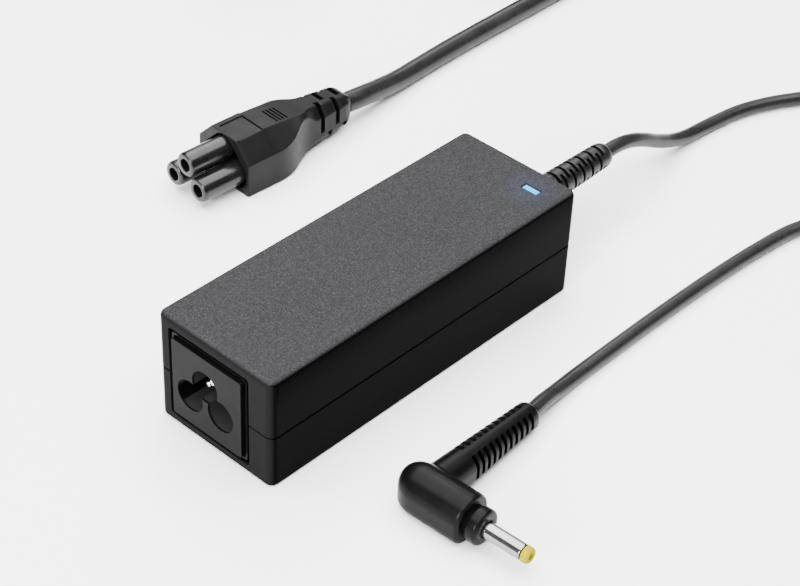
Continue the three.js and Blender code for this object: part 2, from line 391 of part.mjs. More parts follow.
add(plug, 'wall_plug_blade_line', blade(3.15).translate([0, 6.35, 0]), 0xcaa75a, 0.3, 1);
add(plug, 'wall_plug_blade_neutral', blade(3.95).translate([0, -6.35, 0]), 0xcaa75a, 0.3, 1);
add(plug, 'wall_plug_earth_pin', turned([[44.3, 0], [44.3, 2.38], [65, 2.38], [66.6, 1.5], [67.2, 0]], 'x', [0, 0, GP], 14), 0xcaa75a, 0.3, 1);

root.updateMatrixWorld(true);
const tail = relFrom(plug, -0.9, 0, PZ - 0.1);
const off = [start[0] + 22.6 * Math.cos(turn), start[1] + 22.6 * Math.sin(turn), 9.9];
add(root, 'mains_cord_plug_end', tube([off, [(off[0] * 2 + tail[0]) / 3, (off[1] * 2 + tail[1]) / 3, 10.9], [(off[0] + tail[0] * 2) / 3, (off[1] + tail[1] * 2) / 3, 12.4], tail], MAINS_D, 4, 10), BLACK, 0.5);

export default root;
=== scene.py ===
import math

import bmesh
import bpy
import numpy as np
from mathutils import Matrix, Vector


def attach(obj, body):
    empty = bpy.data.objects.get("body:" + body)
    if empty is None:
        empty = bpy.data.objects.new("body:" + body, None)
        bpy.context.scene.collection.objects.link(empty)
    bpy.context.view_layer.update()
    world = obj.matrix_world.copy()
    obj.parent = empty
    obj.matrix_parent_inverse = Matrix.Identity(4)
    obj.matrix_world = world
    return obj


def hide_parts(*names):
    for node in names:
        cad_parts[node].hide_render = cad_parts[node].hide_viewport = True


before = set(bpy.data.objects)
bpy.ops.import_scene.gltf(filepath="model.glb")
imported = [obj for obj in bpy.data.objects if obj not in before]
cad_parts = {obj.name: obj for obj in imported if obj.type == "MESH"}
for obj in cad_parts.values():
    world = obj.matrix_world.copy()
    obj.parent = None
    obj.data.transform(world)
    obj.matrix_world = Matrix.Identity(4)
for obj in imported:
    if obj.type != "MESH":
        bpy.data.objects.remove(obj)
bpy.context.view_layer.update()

# ---------------------------------------------------------------- frame
# Lengths below are in millimetres in the brick's own frame. The row frame is OX further along X.
MM = 0.001
OX = 0.375
L, W, H = 104.0, 37.0, 30.6
pi = math.pi


def rowpt(p):
    return ((p[0] + OX) * MM, p[1] * MM, p[2] * MM)


# ---------------------------------------------------------------- camera
AZ, EL, ROLL, FPX, TX, TY, DD = -48.447, 38.527, 2.651, 2053.33, -0.1795, -0.3559, 13.5138
a, e, r = (math.radians(v) for v in (AZ, EL, ROLL))
back = Vector((math.sin(a) * math.cos(e), -math.cos(a) * math.cos(e), math.sin(e)))
right = Vector((math.cos(a), math.sin(a), 0))
up = back.cross(right)
c, s = math.cos(r), math.sin(r)
cx, cy, cz = (right * c + up * s), (up * c - right * s), back
centre = (cx * -TX + cy * -TY + cz * DD) * W
cam_data = bpy.data.cameras.new("camera")
cam = bpy.data.objects.new("camera", cam_data)
bpy.context.collection.objects.link(cam)
m = Matrix.Identity(4)
for i in range(3):
    m[i][0], m[i][1], m[i][2] = cx[i], cy[i], cz[i]
loc = rowpt(centre)
for i in range(3):
    m[i][3] = loc[i]
cam.matrix_world = m
cam_data.sensor_width = 36.0
cam_data.sensor_fit = "HORIZONTAL"
cam_data.lens = FPX / 800 * 36.0
cam_data.clip_start, cam_data.clip_end = 0.01, 20
bpy.context.scene.camera = cam

# ---------------------------------------------------------------- routes of the cords
DC_D, MAINS_D = 4.0, 6.0
RELIEF_Z, RELIEF_END = 15.3, 87.7
DC_PLUG = (-31.9, -46.8, 2.5)
C5 = (21.3, 75.8, -3.5)
DC_COIL, MAINS_COIL = (168.0, -62.0), (183.0, 112.0)
Z_DC, Z_M = DC_D / 2 + 0.05, MAINS_D / 2 + 0.05


def place(x, y, turn):
    return Matrix.Translation((x, y, 0)) @ Matrix.Rotation(math.radians(turn), 4, "Z")


M_DC = place(*DC_PLUG)
M_C5 = place(*C5)


def at(mat, *p):
    return tuple(mat @ Vector(p))


def smooth_path(points, step):
    """Points on one smooth curve through the given ones, about step apart."""
    p = [np.array(q, float) for q in points]
    p = [2 * p[0] - p[1]] + p + [2 * p[-1] - p[-2]]
    out = []
    for i in range(1, len(p) - 2):
        t = [0.0]
        for k in range(3):
            t.append(t[-1] + max(np.linalg.norm(p[i + k] - p[i + k - 1]), 1e-6) ** 0.5)
        n = max(1, int(round(np.linalg.norm(p[i + 1] - p[i]) / step)))
        for j in range(n):
            u = t[1] + (t[2] - t[1]) * j / n
            a1 = (t[1] - u) / (t[1] - t[0]) * p[i - 1] + (u - t[0]) / (t[1] - t[0]) * p[i]
            a2 = (t[2] - u) / (t[2] - t[1]) * p[i] + (u - t[1]) / (t[2] - t[1]) * p[i + 1]
            a3 = (t[3] - u) / (t[3] - t[2]) * p[i + 1] + (u - t[2]) / (t[3] - t[2]) * p[i + 2]
            b1 = (t[2] - u) / (t[2] - t[0]) * a1 + (u - t[0]) / (t[2] - t[0]) * a2
            b2 = (t[3] - u) / (t[3] - t[1]) * a2 + (u - t[1]) / (t[3] - t[1]) * a3
            out.append((t[2] - u) / (t[2] - t[1]) * b1 + (u - t[1]) / (t[2] - t[1]) * b2)
    out.append(p[-2])
    return out


def stepped(t, knots):
    """Value at t on a line through (t, value) knots with eased steps between them."""
    if t <= knots[0][0]:
        return knots[0][1]
    for (t0, v0), (t1, v1) in zip(knots, knots[1:]):
        if t <= t1:
            f = (t - t0) / max(t1 - t0, 1e-9)
            f = f * f * (3 - 2 * f)
            return v0 + (v1 - v0) * f
    return knots[-1][1]


def coil_path(centre, start, way, tie, total, radii, heights, per=24):
    """Turns of a coil from angle start, way +1 or -1, with the radius and height stepped from turn to turn. The turns rise a little over the tie's band."""
    n = int(round(per * total))
    out = []
    for i in range(n + 1):
        t = total * i / n
        ang = start + way * 360 * t
        r, z = stepped(t, radii), stepped(t, heights)
        off = (ang - tie + 180) % 360 - 180
        z += 0.95 * math.exp(-((off / 24.0) ** 2))
        q = math.radians(ang)
        out.append(np.array((centre[0] + r * math.cos(q), centre[1] + r * math.sin(q), z)))
    return out


def make_cord(name, points, d):
    cu = bpy.data.curves.new(name, "CURVE")
    cu.dimensions = "3D"
    sp = cu.splines.new("BEZIER")
    sp.bezier_points.add(len(points) - 1)
    for k, p in enumerate(points):
        bp = sp.bezier_points[k]
        bp.co = rowpt(p)
        bp.handle_left_type = bp.handle_right_type = "AUTO"
    cu.resolution_u = 6
    cu.bevel_depth = d / 2 * MM
    cu.bevel_resolution = 6
    cu.use_fill_caps = True
    ob = bpy.data.objects.new(name, cu)
    bpy.context.collection.objects.link(ob)
    return ob


DC_NEAR = [
    (RELIEF_END + 0.1, 0, RELIEF_Z), (93.5, 0, 15.1), (99, 0, 13.9), (105, 0, 11.4), (112, 0, 7.7), (119, 0, 4.6),
    (126, -0.1, 2.7), (133, -0.3, Z_DC), (147.1, -2.3, Z_DC), (155.3, -5.0, Z_DC), (163, -8.8, Z_DC), (170.3, -13.6, Z_DC), (176.7, -19.3, Z_DC),
    (182.5, -25.9, Z_DC), (187.2, -33, Z_DC), (190.9, -40.5, Z_DC), (193.5, -47, Z_DC), (195.2, -54, Z_DC),
]
DC_FAR = [
    at(M_DC, 38.1, 0, 3.95), (11, -44.4, 3.5), (17, -43.6, 2.5), (24, -43.1, Z_DC), (40, -42.9, Z_DC), (60, -42.9, Z_DC), (80, -43.3, Z_DC),
    (100, -44.5, Z_DC), (112, -46.1, Z_DC), (121.5, -49.6, Z_DC), (128, -55, 2.3), (132.8, -61, 3.2), (137, -67, 4.8), (141.2, -72.9, 6.1),
]
Z_DC2, Z_M2 = Z_DC + DC_D + 0.05, Z_M + MAINS_D + 0.05
dc_turns = coil_path(
    DC_COIL, 0.0, -1, -60.0, 5.4,
    [(0, 28.05), (0.8, 28.05), (1.0, 24), (1.8, 24), (2.0, 19.95), (3.4, 19.95), (3.6, 24), (4.4, 24), (4.6, 28.05), (5.4, 28.05)],
    [(0, Z_DC), (2.6, Z_DC), (2.8, Z_DC2)],
)
dc_points = smooth_path(DC_NEAR, 8.0)[:-1] + dc_turns + smooth_path(DC_FAR, 8.0)[::-1]
dc_cord = make_cord("dc_cord", dc_points, DC_D)

PLUG_TURN = 175.0
leave = PLUG_TURN - 90
start = (MAINS_COIL[0] + 36 * math.cos(math.radians(leave)), MAINS_COIL[1] + 36 * math.sin(math.radians(leave)))
M_PLUG = place(start[0] + 36 * math.cos(math.radians(PLUG_TURN)), start[1] + 36 * math.sin(math.radians(PLUG_TURN)), PLUG_TURN)
PZ = 13.1
MAINS_NEAR = [
    at(M_C5, 43.3, 0, 6.6), (70.5, 72.9, 6.2), (78, 73.4, 5.0), (87, 74.3, 3.6), (97, 75.2, Z_M), (112, 75.8, Z_M), (130, 76.0, Z_M), (146, 76.0, Z_M),
    (160.6, 76, Z_M), (175, 76, Z_M),
]
MAINS_END = [at(M_PLUG, -24.5, 0, Z_M2 + 0.2), at(M_PLUG, -17, 0, 10.4), at(M_PLUG, -10, 0, 11.8), at(M_PLUG, -4, 0, 12.7), at(M_PLUG, -0.2, 0, PZ - 0.1)]
mains_turns = coil_path(
    MAINS_COIL, -90.0, 1, 20.0, 1255.0 / 360,
    [(0, 36.05), (0.74, 36.05), (1.0, 29.95), (2.48, 29.95), (2.70, 36.05), (3.5, 36.05)],
    [(0, Z_M), (1.6, Z_M), (1.8, Z_M2)],
)
mains_points = smooth_path(MAINS_NEAR, 9.0)[:-1] + mains_turns + smooth_path(MAINS_END, 8.0)
mains_cord = make_cord("mains_lead_cord", mains_points, MAINS_D)


def length_of(points):
    return float(sum(np.linalg.norm(np.array(q) - np.array(p)) for p, q in zip(points, points[1:])))


print("cord lengths mm", round(length_of(dc_points)), round(length_of(mains_points)))

# ---------------------------------------------------------------- mesh helpers


def link(ob):
    bpy.context.collection.objects.link(ob)
    return ob


def mesh_object(name, verts, faces, mat=None):
    me = bpy.data.meshes.new(name)
    me.from_pydata([rowpt((mat @ Vector(v)) if mat is not None else v) for v in verts], [], faces)
    me.validate()
    bm = bmesh.new()
    bm.from_mesh(me)
    bmesh.ops.remove_doubles(bm, verts=bm.verts, dist=1e-7)
    bmesh.ops.recalc_face_normals(bm, faces=bm.faces)
    bm.to_mesh(me)
    bm.free()
    return link(bpy.data.objects.new(name, me))


def loft(name, sections, mat=None, caps=True, ring=False):
    """Skin over outlines with equal point counts. ring joins the last outline to the first."""
    n = len(sections[0])
    verts = [tuple(p) for sec in sections for p in sec]
    faces = []
    last = len(sections) if ring else len(sections) - 1
    for i in range(last):
        j = (i + 1) % len(sections)
        for k in range(n):
            k2 = (k + 1) % n
            faces.append((i * n + k, i * n + k2, j * n + k2, j * n + k))
    if caps and not ring:
        faces.append(tuple(range(n))[::-1])
        faces.append(tuple((len(sections) - 1) * n + k for k in range(n)))
    return mesh_object(name, verts, faces, mat)


def round_poly(corners, radii, seg=4):
    """Outline with rounded corners, seg + 1 points at each. corners counter-clockwise in (u, v)."""
    out = []
    n = len(corners)
    if not hasattr(radii, "__len__"):
        radii = [radii] * n
    for i in range(n):
        p, a0, b0 = (np.array(corners[j % n], float) for j in (i, i - 1, i + 1))
        da, db = a0 - p, b0 - p
        la, lb = np.linalg.norm(da), np.linalg.norm(db)
        da, db = da / la, db / lb
        half = math.acos(max(-1, min(1, float(da @ db)))) / 2
        t = min(radii[i] / max(math.tan(half), 1e-6), 0.48 * la, 0.48 * lb)
        rr = t * math.tan(half)
        mid = (da + db) / max(np.linalg.norm(da + db), 1e-9)
        cc = p + mid * rr / max(math.sin(half), 1e-6)
        s0, s1 = p + da * t - cc, p + db * t - cc
        a_0, a_1 = math.atan2(s0[1], s0[0]), math.atan2(s1[1], s1[0])
        d = (a_1 - a_0 + pi) % (2 * pi) - pi
        for k in range(seg + 1):
            q = a_0 + d * k / seg
            out.append((cc[0] + rr * math.cos(q), cc[1] + rr * math.sin(q)))
    return out


def rrect(hu, hv, r, seg=6, cu=0.0, cv=0.0):
    return round_poly([(cu - hu, cv - hv), (cu + hu, cv - hv), (cu + hu, cv + hv), (cu - hu, cv + hv)], r, seg)


def prism(name, outline, axis, lo, hi, mat=None):
    f = {"x": lambda p, t: (t, p[0], p[1]), "y": lambda p, t: (p[0], t, p[1]), "z": lambda p, t: (p[0], p[1], t)}[axis]
    return loft(name, [[f(p, lo) for p in outline], [f(p, hi) for p in outline]], mat)


def block(name, x0, x1, y0, y1, z0, z1, mat=None):
    return prism(name, [(x0, y0), (x1, y0), (x1, y1), (x0, y1)], "z", z0, z1, mat)


def circle_pts(r, n=48, cu=0.0, cv=0.0, turn=0.0):
    return [(cu + r * math.cos(2 * pi * k / n + turn), cv + r * math.sin(2 * pi * k / n + turn)) for k in range(n)]


def lathe(name, profile, axis, origin, n=64, mat=None, closed=False):
    """profile is [distance along the axis, radius]."""
    ax = {"x": (1, 0, 0), "-x": (-1, 0, 0), "z": (0, 0, 1), "-y": (0, -1, 0), "y": (0, 1, 0)}[axis]
    ax = Vector(ax)
    u = Vector((0, 0, 1)) if abs(ax.z) < 0.5 else Vector((1, 0, 0))
    v = ax.cross(u)
    verts, index = [], []
    for d, r in profile:
        if r < 1e-6:
            index.append([len(verts)] * n)
            verts.append(tuple(Vector(origin) + ax * d))
        else:
            index.append(list(range(len(verts), len(verts) + n)))
            for k in range(n):
                q = 2 * pi * k / n
                verts.append(tuple(Vector(origin) + ax * d + (u * math.cos(q) + v * math.sin(q)) * r))
    faces = []
    rows = list(zip(index, index[1:] + ([index[0]] if closed else [])))
    if not closed:
        rows = rows[: len(index) - 1]
    for a0, b0 in rows:
        for k in range(n):
            k2 = (k + 1) % n
            q = [a0[k], a0[k2], b0[k2], b0[k]]
            q = [x for i, x in enumerate(q) if x not in q[:i]]
            if len(q) > 2:
                faces.append(tuple(q))
    return mesh_object(name, verts, faces, mat)


def join(objects, name=None):
    first = objects[0]
    bm = bmesh.new()
    for ob in objects:
        bm.from_mesh(ob.data)
    bm.to_mesh(first.data)
    bm.free()
    for ob in objects[1:]:
        bpy.data.objects.remove(ob, do_unlink=True)
    if name:
        first.name = name
    return first


def apply_mod(ob, mod):
    with bpy.context.temp_override(object=ob, active_object=ob, selected_objects=[ob]):
        bpy.ops.object.modifier_apply(modifier=mod.name)


def boolean(ob, cutter, op="DIFFERENCE"):
    cutter = join(cutter) if isinstance(cutter, list) else cutter
    md = ob.modifiers.new("cut", "BOOLEAN")
    md.operation, md.solver, md.object = op, "EXACT", cutter
    apply_mod(ob, md)
    bpy.data.objects.remove(cutter, do_unlink=True)
    return ob


def bevel(ob, width, seg=2, angle=40):
    bm = bmesh.new()
    bm.from_mesh(ob.data)
    bmesh.ops.remove_doubles(bm, verts=bm.verts, dist=2e-6)
    bmesh.ops.dissolve_degenerate(bm, edges=bm.edges, dist=2e-6)
    bm.to_mesh(ob.data)
    bm.free()
    md = ob.modifiers.new("bevel", "BEVEL")
    md.width, md.segments, md.limit_method = width * MM, seg, "ANGLE"
    md.angle_limit = math.radians(angle)
    md.use_clamp_overlap = True
    apply_mod(ob, md)
    return ob


def smooth(ob, angle=35, weighted=True):
    ob.data.shade_smooth()
    ob.data.set_sharp_from_angle(angle=math.radians(angle))
    if weighted:
        md = ob.modifiers.new("normals", "WEIGHTED_NORMAL")
        md.keep_sharp = True
        md.weight = 50
    return ob


# ---------------------------------------------------------------- materials


class Nodes:
    def __init__(self, name):
        self.m = bpy.data.materials.new(name)
        self.m.use_nodes = True
        self.t = self.m.node_tree
        self.t.nodes.clear()
        self.out = self.t.nodes.new("ShaderNodeOutputMaterial")
        self.b = self.t.nodes.new("ShaderNodeBsdfPrincipled")
        self.t.links.new(self.b.outputs[0], self.out.inputs["Surface"])
        self.coord = self.t.nodes.new("ShaderNodeTexCoord").outputs["Object"]

    def n(self, kind, **kw):
        node = self.t.nodes.new(kind)
        for k, v in kw.items():
            if k.startswith("i_"):
                node.inputs[k[2:].replace("_", " ")].default_value = v
            else:
                setattr(node, k, v)
        return node

    def link(self, a0, b0):
        self.t.links.new(a0, b0)

    def noise(self, scale, detail=3.0, rough=0.5, stretch=None):
        node = self.n("ShaderNodeTexNoise")
        node.inputs["Scale"].default_value = scale
        node.inputs["Detail"].default_value = detail
        node.inputs["Roughness"].default_value = rough
        if stretch:
            mp = self.n("ShaderNodeMapping")
            mp.inputs["Scale"].default_value = stretch
            self.link(self.coord, mp.inputs["Vector"])
            self.link(mp.outputs[0], node.inputs["Vector"])
        else:
            self.link(self.coord, node.inputs["Vector"])
        return node.outputs["Fac"]

    def ramp(self, fac, stops):
        node = self.n("ShaderNodeValToRGB")
        el = node.color_ramp.elements
        while len(el) < len(stops):
            el.new(0.5)
        for k, (pos, col) in enumerate(stops):
            el[k].position = pos
            el[k].color = (*col, 1) if hasattr(col, "__len__") else (col, col, col, 1)
        self.link(fac, node.inputs["Fac"])
        return node.outputs["Color"]

    def range(self, fac, a0, b0, lo, hi, smoothstep=False):
        node = self.n("ShaderNodeMapRange")
        if smoothstep:
            node.interpolation_type = "SMOOTHSTEP"
        for k, v in (("From Min", a0), ("From Max", b0), ("To Min", lo), ("To Max", hi)):
            node.inputs[k].default_value = v
        self.link(fac, node.inputs["Value"])
        return node.outputs["Result"]

    def math(self, op, a0, b0=None):
        node = self.n("ShaderNodeMath", operation=op)
        for k, v in enumerate((a0, b0)):
            if v is None:
                continue
            if isinstance(v, (int, float)):
                node.inputs[k].default_value = v
            else:
                self.link(v, node.inputs[k])
        return node.outputs[0]

    def mix(self, fac, a0, b0, kind="MIX"):
        node = self.n("ShaderNodeMix", data_type="RGBA", blend_type=kind)
        for k, v in ((0, fac), (6, a0), (7, b0)):
            if hasattr(v, "is_output"):
                self.link(v, node.inputs[k])
            elif k == 0:
                node.inputs[k].default_value = v
            else:
                node.inputs[k].default_value = (*v, 1)
        return node.outputs[2]

    def bump(self, height, strength, distance, prior=None):
        node = self.n("ShaderNodeBump")
        node.inputs["Strength"].default_value = strength
        node.inputs["Distance"].default_value = distance
        self.link(height, node.inputs["Height"])
        if prior is not None:
            self.link(prior, node.inputs["Normal"])
        return node.outputs["Normal"]


def plastic(name, base, rough=0.45, spec=0.3, vary=0.18, grain=1600, bump=0.12, wear=0.0, patch=90, streak=None):
    """Moulded plastic or rubber: slight mottling, fine skin texture, uneven gloss, paler worn edges."""
    k = Nodes(name)
    lo = tuple(v * (1 - vary) for v in base)
    hi = tuple(v * (1 + vary) for v in base)
    col = k.ramp(k.noise(patch, 4, 0.6), [(0.3, lo), (0.7, hi)])
    fine = k.noise(grain, 2, 0.5, streak)
    col = k.mix(k.range(fine, 0.35, 0.7, 0.0, 0.25), col, tuple(min(1, v * 1.6) for v in base))
    if wear:
        g = k.n("ShaderNodeNewGeometry").outputs["Pointiness"]
        col = k.mix(k.range(g, 0.52, 0.62, 0.0, wear), col, tuple(min(1, v * 2.6 + 0.01) for v in base))
    k.link(col, k.b.inputs["Base Color"])
    k.link(k.range(k.noise(patch * 3, 4, 0.6), 0.3, 0.7, rough - 0.06, rough + 0.07), k.b.inputs["Roughness"])
    k.b.inputs["Specular IOR Level"].default_value = spec
    k.link(k.bump(fine, bump, 0.0001), k.b.inputs["Normal"])
    return k.m


def metal(name, base, rough=0.18, brushed=None, vary=0.08):
    k = Nodes(name)
    col = k.ramp(k.noise(220, 4, 0.6), [(0.3, tuple(v * (1 - vary) for v in base)), (0.7, tuple(min(1, v * (1 + vary)) for v in base))])
    k.link(col, k.b.inputs["Base Color"])
    k.b.inputs["Metallic"].default_value = 1.0
    fine = k.noise(900, 3, 0.6, brushed or (1, 1, 1))
    k.link(k.range(fine, 0.3, 0.7, max(0.03, rough - 0.05), rough + 0.07), k.b.inputs["Roughness"])
    k.link(k.bump(fine, 0.04, 0.00005), k.b.inputs["Normal"])
    return k.m


def put(ob, material):
    ob.data.materials.clear()
    ob.data.materials.append(material)
    return ob


def finish_piece(ob, body, slot, *nodes, material=None):
    if material is not None:
        put(ob, material)
    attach(ob, body)
    if nodes:
        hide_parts(*nodes)
    return ob


# ---------------------------------------------------------------- covers
R_CORNER, R_TOP, R_BOTTOM, Z_PART, GAP = 2.0, 1.6, 0.8, 14.5, 0.3
INLET_Y, INLET_Z, PANEL_HY, PANEL_HZ = 1.76, 15.0, 11.28, 11.0
LED_X, LED_Y = 44.1, -10.15
F = -L / 2 - 0.75
RECESS_BACK = F + 15.25
LOBES = (("line", 7.2, 12.3), ("neutral", -2.8, 12.3), ("earth", 2.2, 17.8))


def brick_slab(name, z0, z1, r0, r1):
    secs = []

    def sec(z, off):
        return [(x, y, z) for x, y in rrect(L / 2 - off, W / 2 - off, max(R_CORNER - off, 0.6), 8)]

    if r0:
        secs += [sec(z0 + r0 * (1 - math.cos(pi / 2 * k / 8)), r0 * (1 - math.sin(pi / 2 * k / 8))) for k in range(9)]
    else:
        secs += [sec(z0, 0.22), sec(z0 + 0.07, 0.07), sec(z0 + 0.22, 0.0)]
    if r1:
        secs += [sec(z1 - r1 * (1 - math.sin(pi / 2 * k / 8)), r1 * (1 - math.cos(pi / 2 * k / 8))) for k in range(9)]
    else:
        secs += [sec(z1 - 0.22, 0.0), sec(z1 - 0.07, 0.07), sec(z1, 0.22)]
    return loft(name, secs)


def cut_openings(ob):
    hy, hz = PANEL_HY + 1.77, PANEL_HZ + 1.77
    boolean(ob, prism("c", rrect(hy, hz, 1.0, 6, INLET_Y, INLET_Z), "x", -L / 2 - 3, -L / 2 + 6))
    boolean(ob, lathe("c", [(0, 0), (0, 3.5), (8, 3.5), (8, 0)], "x", (L / 2 - 4.5, 0, RELIEF_Z), 48))
    return ob


def lip_ring(name, out_off, in_off, z0, z1):
    o = [(x, y) for x, y in rrect(L / 2 - out_off, W / 2 - out_off, 0.9, 4)]
    i = [(x, y) for x, y in rrect(L / 2 - in_off, W / 2 - in_off, 0.6, 4)]
    return loft(name, [[(x, y, z0) for x, y in o], [(x, y, z1) for x, y in o], [(x, y, z1) for x, y in i], [(x, y, z0) for x, y in i]], ring=True)


top = brick_slab("top_shell", Z_PART + GAP / 2, H, 0, R_TOP)
boolean(top, prism("c", rrect(L / 2 - 2, W / 2 - 2, 0.8, 4), "z", 10, H - 2))
cut_openings(top)
boolean(top, prism("c", rrect(1.2, 2.6, 0.35, 5, LED_X, LED_Y), "z", H - 4, H + 2))
smooth(top, 32)
bottom = brick_slab("bottom_shell", 0.0, Z_PART - GAP / 2, R_BOTTOM, 0)
boolean(bottom, prism("c", rrect(L / 2 - 2, W / 2 - 2, 0.8, 4), "z", 2, 20))
cut_openings(bottom)
lip = lip_ring("lip", 2.3, 3.3, 11.5, 16.3)
boolean(lip, block("c", -60, -46, -17, 17, 8, 20))
boolean(lip, block("c", 46, 50, -6.5, 6.5, 8, 22))
bosses = [lathe("boss", [(0, 0), (0, 2.2), (2.3, 2.2), (2.3, 0)], "z", (bx, by, 2.0), 24) for bx in (-28, 42) for by in (-10.8, 10.8)]
bottom = join([bottom, lip] + bosses)
smooth(bottom, 32)


def cover_material(name):
    """Matt grained upper face and smooth near-black sides. Painted light: the top's base colour is far lighter than the
    sides' (painted light from above on the top, painted shade on the sides), the inlet end face is painted lighter,
    bright specks on the top are painted glints, and the skin round the status light glows with a painted blue halo.
    """
    k = Nodes(name)
    xyz = k.n("ShaderNodeSeparateXYZ")
    k.link(k.coord, xyz.inputs[0])
    up_mask = k.range(xyz.outputs["Z"], 0.0297, 0.03045, 0, 1, True)
    grain = k.noise(2700, 2.0, 0.6)
    soft = k.noise(38, 3, 0.5)
    speck = k.ramp(grain, [(0.3, TOP_LO), (0.5, TOP_MID), (0.66, TOP_HI)])
    # painted glints: bright specks painted into the top's colour
    painted_glint_mask = k.range(k.noise(3600, 1.0, 0.5), 0.67, 0.75, 0.0, 0.8)
    speck = k.mix(painted_glint_mask, speck, PAINTED_GLINT)
    speck = k.mix(k.range(soft, 0.3, 0.7, 0.0, 0.18), speck, TOP_LO)
    # painted shade: the sides get a near-black base colour far darker than the top's
    side = k.ramp(k.noise(60, 4, 0.6), [(0.3, SHADED_SIDE_LO), (0.7, SHADED_SIDE_HI)])
    # painted light: the inlet end face gets a lighter base colour for the light falling on it from that side
    end_light_mask = k.range(xyz.outputs["X"], (-51.75 + OX) * MM, (-50.7 + OX) * MM, 1, 0, True)
    side = k.mix(end_light_mask, side, PAINTED_END_LIGHT)
    # painted light: the top face takes the lighter grained colour, for light falling from above; the grain itself is
    # the real finish
    k.link(k.mix(up_mask, side, speck), k.b.inputs["Base Color"])
    rough = k.range(up_mask, 0, 1, 0.2, 0.6)
    k.link(k.math("ADD", rough, k.range(k.noise(160, 4, 0.6), 0.3, 0.7, -0.03, 0.04)), k.b.inputs["Roughness"])
    k.b.inputs["Specular IOR Level"].default_value = COVER_SPEC
    h = k.math("MULTIPLY", grain, k.range(up_mask, 0, 1, 0.02, 1.0))
    k.link(k.bump(h, 0.16, 0.0001), k.b.inputs["Normal"])
    # painted light: the blue halo of the status light is emission in the cover skin round it
    dx = k.math("SUBTRACT", xyz.outputs["X"], (LED_X + OX) * MM)
    dy = k.math("SUBTRACT", xyz.outputs["Y"], LED_Y * MM)
    dist = k.math("SQRT", k.math("ADD", k.math("MULTIPLY", dx, dx), k.math("MULTIPLY", dy, dy)))
    glow = k.math("MULTIPLY", k.range(dist, 0.0015, 0.0095, 1.0, 0.0, True), up_mask)
    k.link(k.math("MULTIPLY", glow, PAINTED_HALO), k.b.inputs["Emission Strength"])
    k.b.inputs["Emission Color"].default_value = (0.16, 0.3, 1.0, 1)
    return k.m


# top colours: real grain, made far lighter than the sides as painted light from above; the last of them is for painted
# glints
TOP_LO, TOP_MID, TOP_HI, PAINTED_GLINT = (0.0135, 0.0135, 0.0142), (0.021, 0.021, 0.022), (0.031, 0.031, 0.0325), (0.085, 0.085, 0.088)
# side colours: painted shade
SHADED_SIDE_LO, SHADED_SIDE_HI = (0.0005, 0.0005, 0.00053), (0.0007, 0.0007, 0.00074)
# the second value is the strength of the painted halo round the status light
COVER_SPEC, PAINTED_HALO = 0.007, 0.05
# painted light on the inlet end face
PAINTED_END_LIGHT = (0.0064, 0.0064, 0.0067)
mat_cover = cover_material("cover_skin")
finish_piece(top, "adapter", "cover_textured", "top_cover", material=mat_cover)
finish_piece(bottom, "adapter", "cover_smooth", "bottom_cover", material=cover_material("cover_smooth_skin"))

# ---------------------------------------------------------------- mains inlet
panel = prism("inlet_shell", rrect(PANEL_HY, PANEL_HZ, 0.6, 4, INLET_Y, INLET_Z), "x", F, RECESS_BACK + 2.5)
ledge = prism("ledge", rrect(PANEL_HY + 0.9, PANEL_HZ + 0.9, 0.8, 4, INLET_Y, INLET_Z), "x", -L / 2 + 0.3, -L / 2 + 3)
boolean(ledge, prism("c", rrect(PANEL_HY + 0.28, PANEL_HZ + 0.28, 0.7, 4, INLET_Y, INLET_Z), "x", -L / 2 - 1, -L / 2 + 0.95))
flange = block("flange", -L / 2 + 2.3, -L / 2 + 3.8, INLET_Y - 14.3, INLET_Y + 14.3, INLET_Z - 12.7, INLET_Z + 12.7)
boolean(panel, ledge, "UNION")
boolean(panel, flange, "UNION")
for _, y, z in LOBES:
    boolean(panel, lathe("c", [(0, 0), (0, 4.15), (17.25, 4.15), (17.25, 0)], "x", (F - 2, y, z), 96))
for _, y, z in LOBES:
    boolean(panel, lathe("c", [(0, 0), (0, 1.5), (6, 1.5), (6, 0)], "x", (RECESS_BACK - 1, y, z), 32))
bevel(panel, 0.16, 2, 50)
smooth(panel, 30)
mat_inlet = plastic("inlet_skin", (0.0018, 0.0018, 0.0019), rough=0.34, spec=0.036, bump=0.02)
t = mat_inlet.node_tree
shader = next(n for n in t.nodes if n.type == "BSDF_PRINCIPLED")
# painted light: the walls deep in the recess round the pin lobes get a much lighter base colour than the panel,
# standing for light reaching into the recess
old = shader.inputs["Base Color"].links[0].from_socket
xyz = t.nodes.new("ShaderNodeSeparateXYZ")
t.links.new(next(n for n in t.nodes if n.type == "TEX_COORD").outputs["Object"], xyz.inputs[0])
deep = t.nodes.new("ShaderNodeMapRange")
for key, v in (("From Min", (F + OX + 0.35) * MM), ("From Max", (F + OX + 0.75) * MM)):
    deep.inputs[key].default_value = v
t.links.new(xyz.outputs["X"], deep.inputs["Value"])
near = t.nodes.new("ShaderNodeMath")
near.operation = "LESS_THAN"
near.inputs[1].default_value = 0.0092
away = t.nodes.new("ShaderNodeVectorMath")
away.operation = "DISTANCE"
flat = t.nodes.new("ShaderNodeCombineXYZ")
t.links.new(xyz.outputs["Y"], flat.inputs["Y"])
t.links.new(xyz.outputs["Z"], flat.inputs["Z"])
t.links.new(flat.outputs[0], away.inputs[0])
away.inputs[1].default_value = (0.0, 2.2 * MM, 14.2 * MM)
t.links.new(away.outputs["Value"], near.inputs[0])
recess_light_mask = t.nodes.new("ShaderNodeMath")
recess_light_mask.operation = "MULTIPLY"
t.links.new(deep.outputs[0], recess_light_mask.inputs[0])
t.links.new(near.outputs[0], recess_light_mask.inputs[1])
recess_light_mix = t.nodes.new("ShaderNodeMix")
recess_light_mix.data_type = "RGBA"
t.links.new(recess_light_mask.outputs[0], recess_light_mix.inputs[0])
